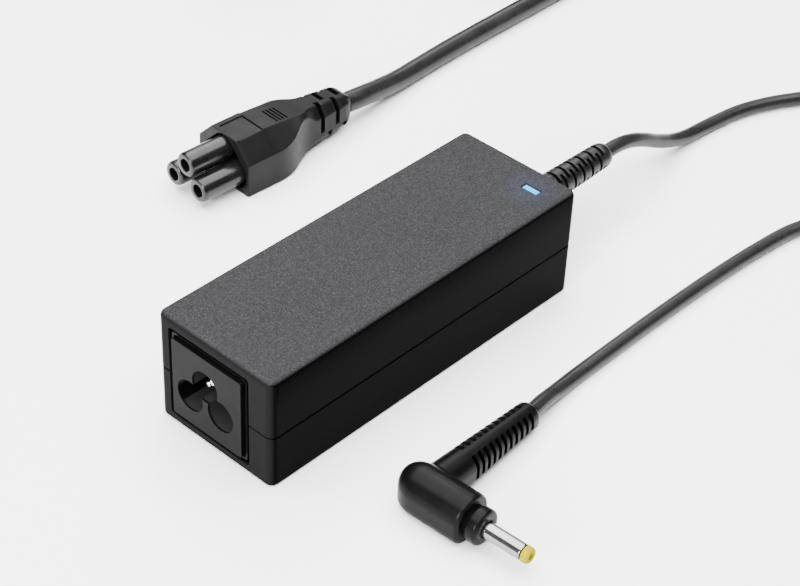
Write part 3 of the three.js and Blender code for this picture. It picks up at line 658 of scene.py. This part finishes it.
t.links.new(old, recess_light_mix.inputs[6])
recess_light_mix.inputs[7].default_value = (0.017, 0.017, 0.0175, 1)
t.links.new(recess_light_mix.outputs[2], shader.inputs["Base Color"])
finish_piece(panel, "adapter", "inlet_plastic", "inlet_housing", material=mat_inlet)
mat_pin = metal("plated_pin_metal", (0.78, 0.77, 0.75), 0.16, (1, 40, 40))
for name, y, z in LOBES:
    tip = 2.2 if name == "earth" else 5.2
    pin = lathe("pin_" + name, [(tip, 0), (tip, 0.55), (tip + 0.12, 0.8), (tip + 0.35, 1.02), (tip + 0.7, 1.16), (tip + 1.1, 1.2), (19.95, 1.2), (20.45, 0.9), (20.45, 0)], "x", (F, y, z), 48)
    smooth(pin, 30)
    finish_piece(pin, "adapter", "plated_pin", "inlet_pin_" + name, material=mat_pin)

# ---------------------------------------------------------------- status light
guide = join([prism("led_window", rrect(0.92, 2.32, 0.3, 5, LED_X, LED_Y), "z", 27.5, H - 0.2), prism("g", rrect(1.9, 3.2, 0.3, 3, LED_X, LED_Y), "z", 27.3, H - 2.3)])
bevel(guide, 0.12, 2, 50)
smooth(guide, 30)
k = Nodes("led_glow_clear")
xyz = k.n("ShaderNodeSeparateXYZ")
k.link(k.coord, xyz.inputs[0])
dx = k.math("ABSOLUTE", k.math("SUBTRACT", xyz.outputs["X"], (LED_X + OX) * MM))
dy = k.math("ABSOLUTE", k.math("SUBTRACT", xyz.outputs["Y"], LED_Y * MM))
# painted shade: the glow is darker and dimmer towards the window's rim, for the shade of the window walls
edge = k.math("MAXIMUM", k.range(dx, 0.00055, 0.0009, 0, 1, True), k.range(dy, 0.0019, 0.0023, 0, 1, True))
k.link(k.mix(edge, (0.06, 0.44, 1.0), (0.01, 0.15, 0.7)), k.b.inputs["Emission Color"])
k.link(k.range(edge, 0, 1, 2.5, 0.7), k.b.inputs["Emission Strength"])
k.link(k.ramp(k.noise(500, 3), [(0.3, (0.01, 0.06, 0.1)), (0.7, (0.015, 0.08, 0.13))]), k.b.inputs["Base Color"])
k.b.inputs["Roughness"].default_value = 0.3
k.b.inputs["Specular IOR Level"].default_value = 0.05
finish_piece(guide, "adapter", "led_glow", "led_light_guide", material=k.m)


# ---------------------------------------------------------------- strain relief at the brick
def sector(x0, x1, r0, r1, mid, half, origin, seg=20):
    """Ring sector about the X axis through origin, angle measured from +Y towards +Z."""
    pts = [(math.radians(mid - half + 2 * half * i / seg)) for i in range(seg + 1)]
    out = [(r1 * math.cos(q), r1 * math.sin(q)) for q in pts] + [(r0 * math.cos(q), r0 * math.sin(q)) for q in pts[::-1]]
    return prism("c", [(origin[1] + u, origin[2] + v) for u, v in out], "x", x0, x1)


X1 = L / 2
prof = [(X1 - 3.8, 0), (X1 - 3.8, 5.2), (X1 - 2.3, 5.2), (X1 - 2.3, 3.2), (X1 + 0.3, 3.2), (X1 + 0.3, 4.25), (X1 + 0.45, 4.4), (X1 + 1.7, 4.4), (X1 + 1.9, 4.3), (X1 + 2.1, 4.15),
        (X1 + 12, 3.98), (X1 + 22, 3.78), (X1 + 31, 3.58), (RELIEF_END - 2.2, 3.5), (RELIEF_END - 1.2, 3.38), (RELIEF_END - 0.5, 3.1), (RELIEF_END - 0.1, 2.65), (RELIEF_END, 2.3), (RELIEF_END, 0)]
relief = lathe("brick_relief", prof, "x", (0, 0, RELIEF_Z), 96)
VIS = 125.0
rows = 16
cutters = []
for i in range(rows):
    x = X1 + 4.4 + i * 1.8
    for mid in ((VIS + 52, VIS - 128) if i % 2 == 0 else (VIS - 52, VIS + 128)):
        cutters.append(sector(x, x + 0.95, 2.5, 6.0, mid, 66, (0, 0, RELIEF_Z)))
boolean(relief, cutters)
bevel(relief, 0.13, 2, 50)
smooth(relief, 30)
mat_relief = plastic("relief_rubber", (0.0036, 0.0036, 0.0038), rough=0.34, spec=0.24, bump=0.03, wear=0.25)
finish_piece(relief, "adapter", "relief_black", "dc_strain_relief", material=mat_relief)

# ---------------------------------------------------------------- low-voltage plug
BZ = 5.2


def head_section(y, w, zt, zb):
    r = min(5.4, w * 0.98)
    rb = min(3.1, w * 0.9)
    return [(u, y, v) for u, v in round_poly([(-w, zb), (w, zb), (w, zt), (-w, zt)], [rb, rb, r, r], 10)]


secs = [head_section(-13.2, 4.75, 10.65, 0.8), head_section(-13.1, 5.08, 10.98, 0.47), head_section(-12.85, 5.33, 11.23, 0.22), head_section(-12.5, 5.46, 11.36, 0.09), head_section(-12.0, 5.5, 11.4, 0.05)]
secs += [head_section(y, 5.5, 11.4, 0.05) for y in (-8, -4, 0)]
for kk in range(1, 13):
    q = pi / 2 * kk / 12.6
    y = 0.6 + 5.7 * math.sin(q)
    f = math.cos(q)
    secs.append(head_section(y, 5.5 * f ** 0.72, 11.4 - 3.4 * (1 - f) ** 1.1, 0.05 + 1.1 * (1 - f) ** 1.4))
head = loft("dc_plug_head", secs, M_DC)


def boot_at(x):
    t = (x - 1.0) / 37.0
    w = 4.55 + (3.15 - 4.55) * t
    zt = 9.6 + (7.1 - 9.6) * t
    zb = 0.3 + 0.6 * t
    return w, zt, zb


def boot_section(x, w, zt, zb):
    m = min(w, (zt - zb) / 2)
    return [(x, u, v) for u, v in round_poly([(-w, zb), (w, zb), (w, zt), (-w, zt)], [0.6 * m, 0.6 * m, 0.93 * m, 0.93 * m], 10)]


secs = []
for x in list(np.linspace(1.0, 36.6, 19)):
    secs.append(boot_section(x, *boot_at(x)))
for d, off in ((37.2, 0.25), (37.7, 0.65), (37.95, 1.15)):
    w, zt, zb = boot_at(d)
    secs.append(boot_section(d, w - off, zt - off, zb + off))
boot = loft("dc_plug_boot", secs, M_DC)
cutters = []
for i in range(11):
    x = 12.8 + i * 2.1
    w, zt, zb = boot_at(x)
    cutters.append(prism("c", round_poly([(-7, zb + 1.9), (-1.5, zb + 1.9), (-1.5, zt - 0.55), (-7, zt - 0.55)], 0.35, 3), "x", x, x + 1.1, M_DC))
    cutters.append(prism("c", round_poly([(0.45, zb + 1.9), (7, zb + 1.9), (7, zt + 1), (0.45, zt + 1)], 0.35, 3), "x", x, x + 1.1, M_DC))
# slot halves of one row overlap, so they are cut in two goes
boolean(boot, cutters[0::2])
boolean(boot, cutters[1::2])
bevel(boot, 0.1, 1, 50)
smooth(boot, 32)
smooth(head, 40)
boolean(head, boot, "UNION")
head.modifiers.clear()
smooth(head, 32)
head.name = "dc_plug_body"
mat_plug = plastic("dc_plug_skin", (0.0014, 0.0014, 0.0015), rough=0.31, spec=0.062, bump=0.01, wear=0.2)
finish_piece(head, "adapter", "relief_black", "dc_plug_shell", material=mat_plug)


def on_barrel(name, profile, n=64):
    return lathe(name, [(d, r) for d, r in profile], "-y", (0, 0, BZ), n, M_DC)


collar = on_barrel("plug_collar", [(12.4, 0), (12.4, 3.95), (14.3, 3.95), (14.35, 4.15), (14.5, 4.35), (14.8, 4.4), (16.3, 4.4), (16.7, 4.28), (16.95, 4.0), (17.05, 3.6), (17.05, 2.3), (16.6, 2.25), (16.6, 0)], 96)
bevel(collar, 0.1, 2, 55)
smooth(collar, 32)
finish_piece(collar, "adapter", "relief_black", "dc_plug_collar", material=mat_plug)
barrel = lathe("plug_barrel", [(17.1, 1.46), (17.1, 2.0), (27.2, 2.0), (27.35, 1.93), (27.4, 1.8), (27.4, 1.46)], "-y", (0, 0, BZ), 96, M_DC, closed=True)
smooth(barrel, 30)
finish_piece(barrel, "adapter", "barrel_metal", "dc_plug_barrel", material=metal("barrel_nickel", (0.24, 0.24, 0.25), 0.12, (40, 1, 40)))
tipo = lathe("plug_tip", [(24.0, 0.86), (24.0, 1.15), (27.7, 1.15), (27.7, 1.9), (27.8, 2.0), (28.7, 2.0), (29.1, 1.9), (29.35, 1.65), (29.45, 1.35), (29.4, 0.95), (29.2, 0.86)], "-y", (0, 0, BZ), 96, M_DC, closed=True)
smooth(tipo, 35)
finish_piece(tipo, "adapter", "tip_yellow", "dc_plug_tip", material=plastic("tip_yellow_skin", (0.27, 0.225, 0.0001), rough=0.42, spec=0.02, vary=0.05, bump=0.01))
contact = on_barrel("plug_contact", [(18.3, 0), (18.3, 0.55), (28.2, 0.55), (28.4, 0.45), (28.4, 0.32), (19.5, 0.32), (19.5, 0)], 48)
smooth(contact, 30)
mat_brass = metal("contact_brass_metal", (0.72, 0.52, 0.2), 0.25)
finish_piece(contact, "adapter", "contact_brass", "dc_plug_inner_contact", material=mat_brass)

# ---------------------------------------------------------------- mains connector
CZ, RISE = 5.6, 5.5
SEATS = (("line", 5.0, CZ), ("neutral", -5.0, CZ), ("earth", 0.0, CZ + RISE))
tubes = []
for _, y, z in SEATS:
    tubes.append(lathe("insert_tube", [(-1.0, 0), (-1.0, 1.75), (-12.6, 1.75), (-12.9, 1.85), (-13.0, 2.0), (-13.0, 2.9), (-12.9, 3.1), (-12.7, 3.28), (-12.3, 3.42), (-11.9, 3.45), (3.6, 3.45), (3.6, 0)], "x", (0, y, z), 72, M_C5))
insert = tubes[0]
for t in tubes[1:]:
    boolean(insert, t, "UNION")
web = prism("web", [(0.4, CZ + 0.6), (4.2, CZ + 0.6), (2.3, CZ + 5), (0.4, CZ + 5)], "x", -11.3, 3.5, M_C5)
web2 = prism("web", [(-4.2, CZ - 0.8), (0.6, CZ - 0.8), (0.6, CZ + 5), (-2.3, CZ + 5)], "x", -5.5, 3.5, M_C5)
for _, y, z in SEATS:
    for wb in (web, web2):
        boolean(wb, lathe("c", [(-14, 0), (-14, 2.4), (4, 2.4), (4, 0)], "x", (0, y, z), 36, M_C5))
boolean(insert, web, "UNION")
boolean(insert, web2, "UNION")
insert.name = "insert_three_way"
smooth(insert, 32)
mat_insert = plastic("insert_skin", (0.0028, 0.0028, 0.0030), rough=0.24, spec=0.34, bump=0.0, wear=0.3)
finish_piece(insert, "mains_lead", "connector_insert_black", "connector_insert", material=mat_insert)
for name, y, z in SEATS:
    ct = lathe("contact_" + name, [(-8.5, 1.0), (-8.5, 1.4), (-0.4, 1.4), (-0.4, 1.0)], "x", (0, y, z), 40, M_C5, closed=True)
    smooth(ct, 30)
    finish_piece(ct, "mains_lead", "contact_brass", "connector_contact_" + name, material=mat_brass)


def knots(x, table):
    for (x0, v0), (x1, v1) in zip(table, table[1:]):
        if x <= x1:
            f = max(0.0, (x - x0) / (x1 - x0))
            return v0 + (v1 - v0) * f
    return table[-1][1]


W_T = [(0, 10.3), (11.5, 10.3), (13.5, 10.15), (15.5, 9.75), (17.5, 9.1), (19.5, 8.1), (21.5, 7.0), (23.5, 6.2), (25.5, 5.7), (27.5, 5.5), (29, 5.42), (34, 5.1), (40.5, 4.6), (43.2, 4.1)]
T_T = [(0, 15.6), (9.4, 15.6), (9.6, 15.32), (14, 15.1), (18, 14.75), (22, 14.2), (26, 13.6), (29, 13.3), (34, 12.7), (40.5, 11.8), (43.2, 11.3)]
B_T = [(0, 0.05), (16, 0.05), (20, 0.4), (24, 1.0), (29, 1.3), (40.5, 2.0), (43.2, 2.5)]


def c5_section(x, off=0.0):
    w, zt, zb = knots(x, W_T), knots(x, T_T), knots(x, B_T)
    f = min(1.0, max(0.0, (x - 22.0) / 7.0))
    f = f * f * (3 - 2 * f)
    zs_house = 10.2 + (10.3 - w) * 0.9
    zs = zs_house + (9.7 - zs_house) * f
    zs = min(zs, zt - 0.9)
    wt = min(4.95, w - 0.9)
    wt = wt + (3.25 - wt) * f
    rb = 0.7 + 1.9 * f
    rt = 0.7 + 0.8 * f
    pts = round_poly([(-w + off, zb + off), (w - off, zb + off), (w - off, zs - 0.4 * off), (wt - 0.4 * off, zt - off), (-wt + 0.4 * off, zt - off), (-w + off, zs - 0.4 * off)], [rb, rb, rt, rt, rt, rt], 5)
    return [(x, u, v) for u, v in pts]


xs = [0.35, 2, 5, 8, 9.4, 9.6, 11.5, 12.5, 13.5, 14.5, 15.5, 16.5, 17.5, 18.5, 19.5, 20.5, 21.5, 22.5, 23.5, 24.5, 25.5, 26.5, 27.5, 28.5, 29.5, 31, 33, 35, 37, 39, 40.5]
secs = [c5_section(0.0, 0.35), c5_section(0.1, 0.12)] + [c5_section(x) for x in xs] + [c5_section(41.6, 0.25), c5_section(42.5, 0.75), c5_section(43.0, 1.35), c5_section(43.2, 1.9)]
over = loft("connector_body", secs, M_C5)
arch = []
for y, z, rr in ((5, CZ, 4.45), (-5, CZ, 4.45), (0, CZ + RISE, 4.15)):
    arch += circle_pts(rr, 40, y, z)


def hull2(pts):
    pts = sorted(set((round(p[0], 6), round(p[1], 6)) for p in pts))

    def half(seq):
        h = []
        for p in seq:
            while len(h) > 1 and (h[-1][0] - h[-2][0]) * (p[1] - h[-2][1]) - (h[-1][1] - h[-2][1]) * (p[0] - h[-2][0]) <= 1e-9:
                h.pop()
            h.append(p)
        return h[:-1]

    return half(pts) + half(pts[::-1])


boolean(over, prism("c", hull2(arch), "x", -2, 3.9, M_C5))
side_cut, cap_cut = [], []
for i, x in enumerate((30.0, 32.9, 35.8, 38.7)):
    w, zt, zb = knots(x, W_T), knots(x, T_T), knots(x, B_T)
    if i % 2 == 0:
        for sgn in (-1, 1):
            y0, y1 = sorted((sgn * 1.7, sgn * 8))
            side_cut.append(prism("c", round_poly([(y0, zb + 3.6), (y1, zb + 3.6), (y1, zt + 2), (y0, zt + 2)], 0.7, 4), "x", x, x + 1.5, M_C5))
    else:
        cap_cut.append(prism("c", rrect(2.0, 2.4, 0.7, 4, 0.6, zt + 0.6), "x", x, x + 1.6, M_C5))
        for sgn in (-1, 1):
            cap_cut.append(prism("c", rrect(1.9, 2.0, 0.5, 4, sgn * (w + 0.3), zb + 0.9), "x", x, x + 1.5, M_C5))
boolean(over, side_cut)
boolean(over, cap_cut)
GX, GY = 17.0, -1.1
for i in range(4):
    x = GX + (i - 1.5) * 1.15
    zt = knots(x, T_T)
    boolean(over, prism("c", rrect(3.2, 0.6, 0.3, 3, GY, zt + 0.15), "x", x - 0.32, x + 0.32, M_C5))
boolean(over, block("c", 1.3, 9.35, -7.5, 3.4, 15.28, 17, M_C5))
boolean(over, block("c", 9.1, 9.36, -5.2, 3.4, 14.95, 17, M_C5))
bevel(over, 0.14, 2, 50)
smooth(over, 30)
mat_conn = plastic("connector_skin", (0.0032, 0.0032, 0.0034), rough=0.38, spec=0.09, bump=0.02, wear=0.2)
finish_piece(over, "mains_lead", "connector_black", "connector_overmould", material=mat_conn)

# ---------------------------------------------------------------- wall plug
PW = [(0, 5.0), (18, 6.3), (21, 6.7), (24, 8.0), (27, 10.4), (30, 12.5), (33, 13.3), (36, 13.4), (45.5, 13.4)]


def plug_section(x, off=0.0):
    w = knots(x, PW) - off
    f = min(1.0, max(0.0, (x - 20) / 12.0))
    rr = w * (0.62 - 0.27 * f)
    return [(x, u, v) for u, v in rrect(w, min(w, PZ - 0.05 - off * 0.6), rr, 8, 0, PZ)]


xs = [0.9, 4, 8, 12, 16, 18, 19.5, 21, 22.5, 24, 25.5, 27, 28.5, 30, 31.5, 33, 36, 40, 44, 46.2]
secs = [plug_section(0.0, 1.3), plug_section(0.25, 0.5)] + [plug_section(x) for x in xs] + [plug_section(46.7, 0.25), plug_section(47.0, 0.8)]
wall = loft("wall_plug_shell", secs, M_PLUG)
g1, g2 = [], []
for x, sd in ((3, 0), (6.5, 1), (10, 0), (13.5, 1)):
    for dd in (-1, 1):
        if sd:
            y0, y1 = sorted((dd * 3.6, dd * 9))
            g1.append(prism("c", round_poly([(y0, PZ - 4), (y1, PZ - 4), (y1, PZ + 4), (y0, PZ + 4)], 0.6, 4), "x", x, x + 1.3, M_PLUG))
        else:
            g1.append(prism("c", rrect(4, 3.0, 0.6, 4, 0, PZ + dd * 6.4), "x", x, x + 1.3, M_PLUG))
boolean(wall, g1)
boolean(wall, prism("c", rrect(11.2, 11.2, 1.6, 5, 0, PZ), "x", 45.0, 50, M_PLUG))
for i in range(5):
    x = 35.5 + i * 1.8
    for sgn in (-1, 1):
        boolean(wall, prism("c", rrect(0.5, 7.0 - 0.6 * abs(i - 2), 0.4, 3, sgn * 13.5, PZ), "x", x, x + 0.8, M_PLUG))
bevel(wall, 0.2, 2, 50)
smooth(wall, 32)
finish_piece(wall, "mains_lead", "plug_black", "wall_plug_body", material=mat_conn)
face = prism("wall_plug_plate", rrect(10.9, 10.9, 1.4, 6, 0, PZ), "x", 45.1, 47.3, M_PLUG)
BL, GP = PZ + 3.4, PZ - 8.2
for sgn in (-1, 1):
    boolean(face, block("c", 44, 49, sgn * 6.35 - 0.95, sgn * 6.35 + 0.95, BL - 4.2, BL + 4.2, M_PLUG))
boolean(face, lathe("c", [(44, 0), (44, 2.6), (49, 2.6), (49, 0)], "x", (0, 0, GP), 40, M_PLUG))
bevel(face, 0.2, 2, 50)
smooth(face, 32)
finish_piece(face, "mains_lead", "plug_face", "wall_plug_face", material=plastic("plug_face_skin", (0.03, 0.03, 0.031), rough=0.5, spec=0.3))
mat_blade = metal("blade_brass_metal", (0.78, 0.6, 0.28), 0.2, (1, 30, 30))
for name, y, hz in (("line", 6.35, 3.15), ("neutral", -6.35, 3.95)):
    bl = prism("blade_" + name, [(44.3, BL - hz), (61.8, BL - hz), (63.6, BL - hz + 1.4), (63.6, BL + hz - 1.4), (61.8, BL + hz), (44.3, BL + hz)], "y", y - 0.75, y + 0.75, M_PLUG)
    boolean(bl, lathe("c", [(-2, 0), (-2, 1.4), (2, 1.4), (2, 0)], "y", (57.5, y, BL), 32, M_PLUG))
    bevel(bl, 0.25, 2, 50)
    smooth(bl, 35)
    finish_piece(bl, "mains_lead", "blade_brass", "wall_plug_blade_" + name, material=mat_blade)
ep = lathe("earth_pin", [(44.3, 0), (44.3, 2.38), (64.6, 2.38), (65.6, 2.15), (66.5, 1.6), (67.0, 0.8), (67.2, 0)], "x", (0, 0, GP), 56, M_PLUG)
smooth(ep, 40)
finish_piece(ep, "mains_lead", "blade_brass", "wall_plug_earth_pin", material=mat_blade)


# ---------------------------------------------------------------- ties round the coils
def tie(name, centre, r0, r1, h, angle, width):
    """A fabric strap: a closed loop of thin rounded section round the turns, with its free end lapped over the top."""
    q = math.radians(angle)
    m = Matrix.Translation((centre[0], centre[1], 0)) @ Matrix.Rotation(q, 4, "Z")
    ri, ro, z0, z1 = r0 - 1.3, r1 + 0.8, 0.5, h + 1.35

    def loop(off):
        return rrect((ro - ri) / 2 + off, (z1 - z0) / 2 + off, 1.6 + off, 10, (ri + ro) / 2, (z0 + z1) / 2)

    hw = width / 2
    inner, mid, outer = loop(-0.38), loop(0.0), loop(0.38)
    prof = [(inner, -hw + 0.3), (inner, hw - 0.3), (mid, hw), (outer, hw - 0.3), (outer, -hw + 0.3), (mid, -hw)]
    secs = [[(p[0], t, p[1]) for p in ring] for ring, t in prof]
    band = loft(name, secs, m, ring=True)
    lap = []
    for i in range(13):
        u = ri + 1.2 + (ro - ri - 4.2) * i / 12
        lap.append(u)
    secs = []
    for i, u in enumerate(lap):
        hh = hw - 0.35 - (0.9 if i in (0, 12) else 0.25 if i in (1, 11) else 0)
        zz = z1 + 0.42
        th = 0.42
        secs.append([(u, v, w2) for v, w2 in rrect(hh, th, 0.3, 3, 0, zz + th)])
    lapo = loft(name + "_lap", secs, m)
    join([band, lapo])
    smooth(band, 40)
    return band


mat_tie = Nodes("tie_weave")
k = mat_tie
weave = k.n("ShaderNodeTexWave", wave_type="BANDS", bands_direction="DIAGONAL")
weave.inputs["Scale"].default_value = 900
weave.inputs["Distortion"].default_value = 1.5
k.link(k.coord, weave.inputs["Vector"])
k.link(k.ramp(weave.outputs["Fac"], [(0.2, (0.008, 0.008, 0.009)), (0.8, (0.03, 0.03, 0.032))]), k.b.inputs["Base Color"])
k.b.inputs["Roughness"].default_value = 0.85
k.link(k.bump(k.math("ADD", weave.outputs["Fac"], k.noise(1400, 2)), 0.5, 0.0002), k.b.inputs["Normal"])
for node, ctr, r0, r1, h, ang, wd, body in (("dc_coil_tie", DC_COIL, 17.9, 30.1, 8.2, -60, 7, "adapter"), ("mains_coil_tie", MAINS_COIL, 26.9, 39.1, 12.2, 20, 8, "mains_lead")):
    ob = tie(node.replace("coil", "bundle"), ctr, r0, r1, h, ang, wd)
    finish_piece(ob, body, "tie_fabric", node, material=mat_tie.m)

# ---------------------------------------------------------------- cords
cord_mat = Nodes("cord_skin")
k = cord_mat
k.link(k.ramp(k.noise(70, 3, 0.5), [(0.3, (0.0075, 0.0075, 0.0078)), (0.7, (0.0105, 0.0105, 0.0108))]), k.b.inputs["Base Color"])
k.link(k.range(k.noise(260, 3, 0.5), 0.3, 0.7, 0.24, 0.36), k.b.inputs["Roughness"])
k.b.inputs["Specular IOR Level"].default_value = 0.17
k.link(k.bump(k.noise(500, 2, 0.5), 0.02, 0.0001), k.b.inputs["Normal"])
put(dc_cord, cord_mat.m)
put(mains_cord, cord_mat.m)
finish_piece(dc_cord, "adapter", "cord_black", "dc_cord_brick_end", "dc_coil", "dc_cord_plug_end")
finish_piece(mains_cord, "mains_lead", "cord_black", "mains_cord", "mains_coil", "mains_cord_plug_end")

# ---------------------------------------------------------------- inner pieces, carried over with materials of their own
INNER = {
    "inlet_wire_line": ((0.16, 0.06, 0.02), 0.5, 0), "inlet_wire_neutral": ((0.03, 0.1, 0.38), 0.5, 0), "inlet_wire_earth": ((0.07, 0.32, 0.05), 0.5, 0),
    "status_led": ((0.7, 0.82, 0.95), 0.3, 0), "insulating_sheet": ((0.75, 0.7, 0.55), 0.75, 0), "circuit_board": ((0.02, 0.13, 0.05), 0.5, 0),
    "mains_fuse": ((0.68, 0.62, 0.5), 0.3, 0), "x_capacitor": ((0.65, 0.42, 0.02), 0.45, 0), "common_mode_choke": ((0.45, 0.16, 0.05), 0.35, 1),
    "y_capacitor": ((0.03, 0.11, 0.35), 0.45, 0), "bridge_rectifier": ((0.012, 0.012, 0.013), 0.45, 0), "bulk_capacitor": ((0.02, 0.022, 0.035), 0.35, 0),
    "switching_transistor": ((0.012, 0.012, 0.013), 0.45, 0), "primary_heatsink": ((0.72, 0.73, 0.74), 0.35, 1), "optocoupler": ((0.75, 0.75, 0.7), 0.5, 0),
    "controller_chip": ((0.01, 0.01, 0.011), 0.45, 0), "transformer_core": ((0.04, 0.04, 0.042), 0.65, 0), "transformer_bobbin": ((0.02, 0.02, 0.021), 0.5, 0),
    "transformer_winding": ((0.75, 0.52, 0.05), 0.5, 0), "secondary_heatsink": ((0.72, 0.73, 0.74), 0.35, 1), "output_rectifier": ((0.012, 0.012, 0.013), 0.45, 0),
    "output_capacitor_a": ((0.02, 0.06, 0.2), 0.35, 0), "output_capacitor_b": ((0.02, 0.06, 0.2), 0.35, 0), "output_wire_positive": ((0.45, 0.015, 0.01), 0.5, 0),
    "output_wire_negative": ((0.012, 0.012, 0.012), 0.5, 0), "screening_plate": ((0.72, 0.5, 0.32), 0.3, 1),
}
for node, (col, rg, is_metal) in INNER.items():
    ob = bpy.data.objects.get(node)
    if ob is None:
        print("missing node", node)
        continue
    mt = metal("mat_" + node, col, rg) if is_metal else plastic("mat_" + node, col, rough=rg, vary=0.12, bump=0.1)
    if ob.data.materials:
        ob.data.materials[0] = mt
    else:
        ob.data.materials.append(mt)

# ---------------------------------------------------------------- floor and light
floor = loft("floor", [[(-1600, -1600, -0.02), (1600, -1600, -0.02), (1600, 1600, -0.02), (-1600, 1600, -0.02)], [(-1600, -1600, -4), (1600, -1600, -4), (1600, 1600, -4), (-1600, 1600, -4)]])
k = Nodes("floor_white")
k.link(k.ramp(k.noise(6, 3), [(0.3, (0.96, 0.96, 0.962)), (0.7, (0.975, 0.975, 0.975))]), k.b.inputs["Base Color"])
k.b.inputs["Roughness"].default_value = 0.9
k.b.inputs["Specular IOR Level"].default_value = 0.05
put(floor, k.m)

world = bpy.data.worlds.new("world")
bpy.context.scene.world = world
world.use_nodes = True
bg = world.node_tree.nodes["Background"]
bg.inputs[0].default_value = (1, 1, 1, 1)
bg.inputs[1].default_value = 0.22


def area(name, where, target, size, power, size_y=None, colour=(1, 1, 1)):
    d = bpy.data.lights.new(name, "AREA")
    d.shape = "RECTANGLE"
    d.size, d.size_y = size, size_y or size
    d.energy, d.color = power, colour
    ob = link(bpy.data.objects.new(name, d))
    ob.location = where
    ob.rotation_euler = (Vector(target) - Vector(where)).to_track_quat("-Z", "Y").to_euler()
    return ob


area("key_top", (0.05, 0.1, 1.25), (0.05, 0.05, 0), 1.9, 120, 1.9)
area("fill_left", (-0.95, -0.12, 0.40), (-0.05, 0, 0.015), 0.5, 24, 0.4)
area("rear_box", (0.85, 0.76, 0.85), (0, 0, 0.02), 0.8, 9, 0.6)
